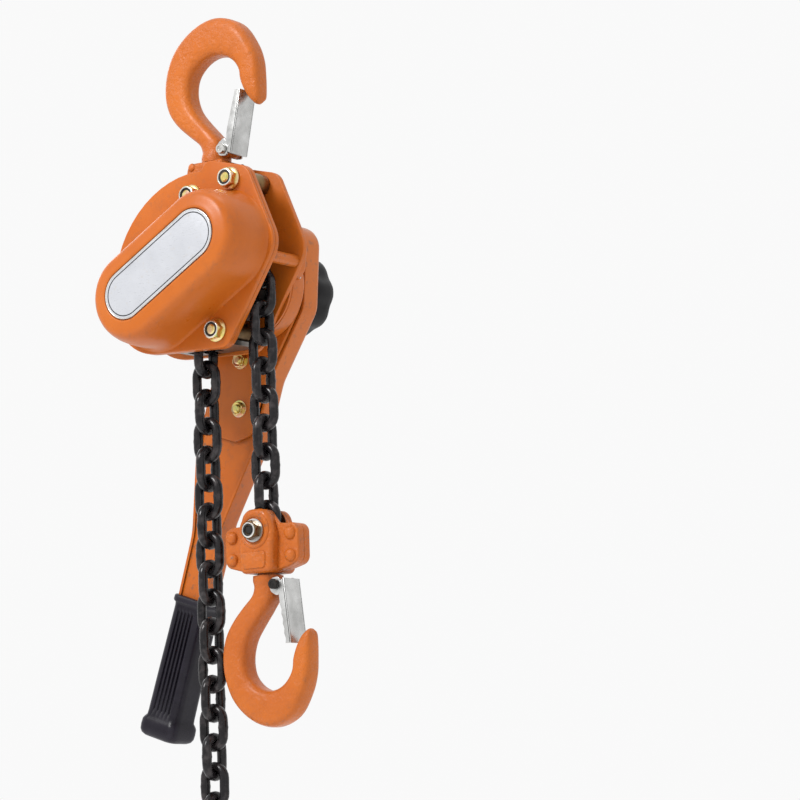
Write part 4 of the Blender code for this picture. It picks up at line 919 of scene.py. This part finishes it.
# ------------------------------------------------------------------ lever
def lean(obj):
    """Turns a piece that was made for an upright lever about the main shaft, to where the lever rests."""
    shift = Matrix.Translation(SHAFT)
    obj.data.transform(shift @ Matrix.Rotation(math.radians(LEVER_LEAN), 4, "Y") @ shift.inverted())
    return obj


def on_lever(obj, look, *nodes):
    return dress(lean(obj), look, "lever", *nodes)


def from_shaft(corners, steps):
    """Rounded outline whose corners are measured from the main shaft."""
    return [(x + SHAFT_X, z) for x, z in rounded(corners, steps)]


# Outline of the pressed lever while it hangs upright below the main shaft, as corners (x, z, radius).
PAN = [
    (-24, 50, 16), (24, 50, 16), (38.5, -6, 20), (24.5, -62, 30), (24.5, -112, 30), (12.4, -172, 60),
    (11.6, -302, 0), (-11.6, -302, 0), (-13.6, -185, 60), (-27.5, -128, 40), (-28.5, -60, 40),
    (-36.5, -6, 20),
]


def lever():
    outline = from_shaft(PAN, 12)
    rings = []
    for shrink, y in (
        (2.4, 39.6), (0.5, 39.4), (0, 39.9), (0, 53.2), (0.25, 54.9), (0.9, 56.4), (1.9, 57.4),
        (3.1, 57.92), (4.4, 58), (5.4, 57.9), (6, 57.5), (6.5, 57.2), (7.2, 57.1),
    ):
        line = inset(outline, shrink) if shrink else outline
        rings.append([W(x, y, z) for x, z in line])
    pan = loft("lever_pan_body", rings, cap_first=False)
    on_lever(pan, "orange", "lever_pan")
    web = from_shaft([
        (-27.6, -100, 2), (24, -100, 2), (24, -112.5, 30), (12, -172, 60), (11.2, -301, 0),
        (-11.2, -301, 0), (-13.2, -185.2, 60), (-27.1, -128, 40),
    ], 12)
    on_lever(slab("lever_pan_web", [web], 40.9, 42.6, 0.2, 0.2), "orange")
    edge = from_shaft([
        (-21.5, 47.5, 14), (21.5, 47.5, 14), (35.8, -6, 18), (22, -62, 30), (20, -104, 6), (8, -112, 10),
        (-14, -112, 10), (-24.5, -104, 6), (-26, -60, 30), (-34, -6, 18),
    ], 10)
    loops = [edge, ring(24.5, 64, (SHAFT_X, 0))]
    sheet = slab("lever_cover_sheet", loops, 37, 39.1, 1.2, 0.1, 6)
    on_lever(sheet, "orange", "lever_inner_cover")
    for name, x in (("lever_bolt_tail", -15), ("lever_bolt_load", 15)):
        at = (SHAFT_X + x, 38)
        on_lever(hex_piece(name + "_head", at, 59.2, 63.2, 6.2, 0.4 + x), "bright", name)
        washer = [(3, 57.2), (7.3, 57.3), (7.5, 57.9), (7.3, 58.7), (3, 59.2)]
        on_lever(lathe(name + "_washer", washer, at), "zinc")
    for name, at, size in (("cover_screw_high", (-4.5, -54), 5.6), ("cover_screw_low", (4.5, -88), 5)):
        spot = (SHAFT_X + at[0], at[1])
        on_lever(hex_piece(name, spot, 36.6, 33, size, 0.5, 3), "yellow")
        washer = [(2, 36.2), (6.2, 36.2), (6.4, 36.6), (6.4, 37), (2, 37.1)]
        on_lever(lathe(name + "_washer", washer, spot), "yellow")
        on_lever(thread(name + "_end", spot, 36, 31.9, 2.9, 1), "yellow")
    grip()
    selector()
    tag()


def tag():
    """Black plate with two arrows and a blank panel, held by four small rivets."""
    corners = [(-15, -74, 4), (15, -74, 4), (18, -96, 3), (13, -121, 4), (-13, -121, 4), (-18, -96, 3)]
    outline = from_shaft(corners, 6)
    plate = slab("direction_plate_face", [outline], 57.2, 58.9, 0.1, 0.3)
    on_lever(plate, "tag", "direction_plate")
    panel = from_shaft([(-9, -97, 1), (9, -97, 1), (9, -109, 1), (-9, -109, 1)], 4)
    on_lever(slab("direction_panel", [panel], 58.6, 59, 0.05, 0.1), "label")
    for k, (x, flip) in enumerate(((-8, 1), (8, -1))):
        arrow = [(-3, 1.2), (0.4, 1.2), (0.4, 3.2), (4.2, 0), (0.4, -3.2), (0.4, -1.2), (-3, -1.2)]
        arrow = [(SHAFT_X + x - flip * px, -88 + pz) for px, pz in arrow]
        on_lever(slab(f"direction_arrow_{k + 1}", [arrow], 58.6, 59, 0.05, 0.05, 1), "label")
    for k, (x, z) in enumerate(((-11.5, -77.5), (11.5, -77.5), (-10, -117.5), (10, -117.5))):
        on_lever(dome(f"direction_rivet_{k + 1}", (SHAFT_X + x, z), 58.8, 0.9, 1.5), "bright")


def grip_section(wide, deep, radius, groove):
    """Rounded rectangle whose broad sides have five grooves, groove deep, as (x, y) points."""
    flat_x, flat_y = wide - radius, deep - radius
    half = []
    across = 66
    for k in range(across):
        x = flat_x * (1 - 2 * k / (across - 1))
        wave = 0.5 + 0.5 * math.cos(2 * math.pi * x / (2 * flat_x / 5))
        half.append((x, deep - groove * min(1, wave * 1.7) ** 2))
    angles = (math.pi / 16 * k for k in range(1, 8))
    corner = [(-flat_x - radius * math.sin(a), flat_y + radius * math.cos(a)) for a in angles]
    side = [(-wide, flat_y * (1 - 2 * k / 8)) for k in range(9)]
    half += corner + side
    half += [(x, -y) for x, y in reversed(corner)]
    return half + [(-x, -y) for x, y in half]


def grip():
    """Rubber sleeve: collar, five grooves on each broad face, and a rounded bead at its end."""
    stations = [
        (-230.5, 14.4, 11.8, 0), (-230.6, 15.2, 12.6, 0), (-231.2, 15.7, 13.1, 0), (-234.4, 15.8, 13.2, 0),
        (-235.4, 15.4, 12.8, 0), (-236, 14.6, 12.1, 0), (-238, 14.3, 11.9, 0), (-240.5, 14.3, 11.9, 0),
        (-242.5, 14.35, 11.9, 1.5), (-262, 14.5, 12.1, 1.5), (-290, 14.8, 12.4, 1.5),
        (-315.5, 15, 12.6, 1.5), (-317.5, 15, 12.6, 0), (-321, 15.2, 12.8, 0), (-322.6, 16.2, 13.8, 0),
        (-324.6, 17, 14.6, 0), (-328.5, 17.2, 14.8, 0), (-332.2, 17, 14.6, 0), (-334.6, 16, 13.6, 0),
        (-336, 14.2, 11.8, 0), (-336.5, 11.6, 9.2, 0),
    ]
    rings = []
    for z, wide, deep, groove in stations:
        points = grip_section(wide, deep, min(6, deep - 1), groove)
        rings.append([W(SHAFT_X + x, GRIP_MIDDLE + y, z) for x, y in points])
    on_lever(loft("lever_grip_sleeve", rings, sharp=50), "rubber", "lever_grip")


def selector():
    """Change-over knob: its shaft, its round boss and the wing that the thumb turns."""
    at = (SHAFT_X - 3, -55)
    x, z = at
    dress(lean(lathe("selector_shaft", [
        (0, 75), (2.2, 75), (3, 74.2), (3, 60), (8.2, 60), (8.6, 59.6), (8.6, 58.6), (8.2, 58.3),
        (3.9, 58.3), (3.9, 36.9), (3, 36.6),
    ], at)), "zinc", "selector", "change_pawl")
    knob = lathe("selector_knob_boss", [
        (3.2, 60.4), (8.6, 60.4), (9, 60.9), (9, 70.6), (8.6, 72.2), (7.4, 73.5), (5.6, 74), (3.2, 74),
    ], at, steps=64)
    dress(lean(knob), "plastic", "selector", "selector_knob")
    rings = []
    for step, wide, low, high in (
        (4, 5.2, 63, 72), (9, 4.9, 63.2, 71.6), (14, 5.3, 63.4, 71.2), (18, 6.8, 63.6, 70.8),
        (22, 8.4, 63.8, 70.4), (25, 8.6, 64.2, 70), (26.6, 7.2, 65, 69.4), (27, 4, 66.2, 68.4),
    ):
        row = []
        for angle in around(28):
            px = wide * squared(math.cos(angle), 0.7)
            py = (low + high) / 2 + (high - low) / 2 * squared(math.sin(angle), 0.7)
            row.append(W(x + px, py, z - step))
        rings.append(row)
    dress(lean(loft("selector_wing", rings, sharp=60)), "plastic", "selector")


# ------------------------------------------------------------------ hand wheel, brake details
def hand_wheel():
    """Scalloped hollow cup with a rounded lip, a flat floor and ribs, and its nut."""
    at = (SHAFT_X, 0)

    def edge(radius, y, depth):
        """One level of the wheel, with eight scallops cut depth deep as a share of its radius."""
        points = []
        for angle in around(192):
            reach = radius * (1 - depth * (0.5 - 0.5 * math.cos(8 * angle)) ** 1.4)
            points.append(W(at[0] + reach * math.cos(angle), y, at[1] + reach * math.sin(angle)))
        return points

    levels = [
        (12.6, 60.2, 0), (25.2, 59.8, 0), (27, 59.9, 0.01), (28.8, 60.8, 0.04), (30.2, 62.6, 0.065),
        (31, 66, 0.08), (31, 72, 0.08), (31, 77, 0.078), (30.4, 81, 0.07), (29.3, 83, 0.055),
        (28, 83.9, 0.04), (26.9, 83.9, 0.02), (26.2, 83.2, 0.01), (25.9, 81.5, 0), (25.4, 74, 0),
        (24.6, 71.8, 0), (22.8, 71, 0), (12, 71, 0), (10.5, 71.3, 0), (9.8, 71.6, 0), (3.9, 71.6, 0),
    ]
    wheel = loft("hand_wheel_cup", [edge(*level) for level in levels], cap_first=False, cap_last=False)
    dress(wheel, "plastic", "drive_shaft", "hand_wheel")
    for k in range(8):
        angle = 2 * math.pi * (k + 0.5) / 8
        rib = block(f"hand_wheel_rib_{k + 1}", (13, 70.6, -0.9), (25.4, 74, 0.9), 0.4)
        rib.data.transform(Matrix.Translation(W(0, 0, 0) * -1))
        rib.data.transform(Matrix.Translation(SHAFT) @ Matrix.Rotation(-angle, 4, "Y"))
        dress(rib, "plastic", "drive_shaft")
    nut = hex_piece("hand_wheel_lock_nut", at, 72.4, 78, 7.5, 0.2, 4.4)
    dress(nut, "bright", "drive_shaft", "hand_wheel_nut")
    washer = [(4, 71.5), (9.4, 71.6), (9.6, 72), (9.4, 72.5), (4, 72.7)]
    turned("hand_wheel_washer", washer, at, "zinc", "drive_shaft")
    collar = [(11.5, 57), (24, 57.3), (25.2, 58.2), (25.2, 59.4), (24, 59.7), (11.5, 59.8)]
    turned("hand_wheel_collar", collar, at, "orange", "lever", steps=64)


def brake_details():
    """Pins and coil springs of the two brake pawls."""
    for name, (x, z), side in (("brake_pawl_tail", (-7, 40), -1), ("brake_pawl_load", (29, 40), 1)):
        turned(name + "_pin", [
            (0, 31.2), (2, 31.2), (2.4, 30.6), (4, 30.4), (4.2, 29.9), (4.2, 28.6), (2.5, 28.5),
            (2.5, 18.5),
        ], (x, z), "bright", "frame", steps=32)
        coil = []
        for k in range(61):
            angle = 2 * math.pi * k / 15
            coil.append(W(x + 3.5 * math.cos(angle), 19.2 + 4.2 * k / 60, z + 3.5 * math.sin(angle)))
        coil.append(W(x - side * 4, 23.6, z + 6))
        coil.append(W(x - side * 13, 23.8, z + 1.5))
        dress(tube(name + "_spring", coil, 0.45, 7), "bright", "frame")


# ------------------------------------------------------------------ everything
side_plates()
gear_cover()
brake_cover()
chains()
top_yoke()
bottom_block()
lever()
hand_wheel()
brake_details()

CAD_LOOKS = {
    "chain_guide": "steel", "chain_stripper": "steel", "sheave_bearing": "steel", "load_sheave": "dark",
    "load_gear": "steel", "intermediate_pinion": "steel", "intermediate_gear": "steel",
    "pinion_shaft": "steel",
    "brake_hub": "steel", "change_gear": "steel", "ratchet_disc": "steel", "brake_pawl_tail": "dark",
    "brake_pawl_load": "dark", "guide_roller_load": "orange", "guide_roller_tail": "orange",
    "friction_disc_inner": "lining", "friction_disc_outer": "lining",
}
for node, look in CAD_LOOKS.items():
    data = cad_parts[node].data
    data.materials.clear()
    data.materials.append(LOOKS[look])


# ------------------------------------------------------------------ floor and light
def stage():
    m = Nodes("floor")
    tint = m.ramp(m.noise(1.5), (0.3, (0.86, 0.86, 0.86)), (0.7, (0.90, 0.90, 0.90)))
    m.set(Base_Color=tint, Roughness=0.9)
    data = bpy.data.meshes.new("floor")
    half, depth = 12.0, -0.86
    corners = [(x * half, y * half, depth) for x, y in ((-1, -1), (1, -1), (1, 1), (-1, 1))]
    data.from_pydata(corners, [], [(0, 1, 2, 3)])
    data.materials.append(m.mat)
    floor = bpy.data.objects.new("floor", data)
    bpy.context.scene.collection.objects.link(floor)
    world = bpy.data.worlds.new("studio")
    world.use_nodes = True
    sky = world.node_tree.nodes["Background"].inputs
    sky["Color"].default_value, sky["Strength"].default_value = (1.0, 1.0, 1.0, 1.0), 0.95
    bpy.context.scene.world = world
    for name, at, size, power in (
        ("key", (-0.5, -1.9, 1.2), 0.7, 44.0), ("fill", (2.4, -0.9, 0.0), 1.2, 1.5),
        ("rim", (-1.8, 0.8, 0.8), 0.8, 3.0), ("top", (0.2, 0.3, 2.0), 0.8, 6.0),
    ):
        light = bpy.data.lights.new(name, "AREA")
        light.shape, light.size, light.energy = "SQUARE", size, power
        obj = bpy.data.objects.new(name, light)
        bpy.context.scene.collection.objects.link(obj)
        obj.location = at
        aim = Vector((0.0, 0.0, -0.2)) - Vector(at)
        obj.rotation_euler = aim.to_track_quat("-Z", "Y").to_euler()


stage()
bpy.context.scene.view_settings.view_transform = "Standard"
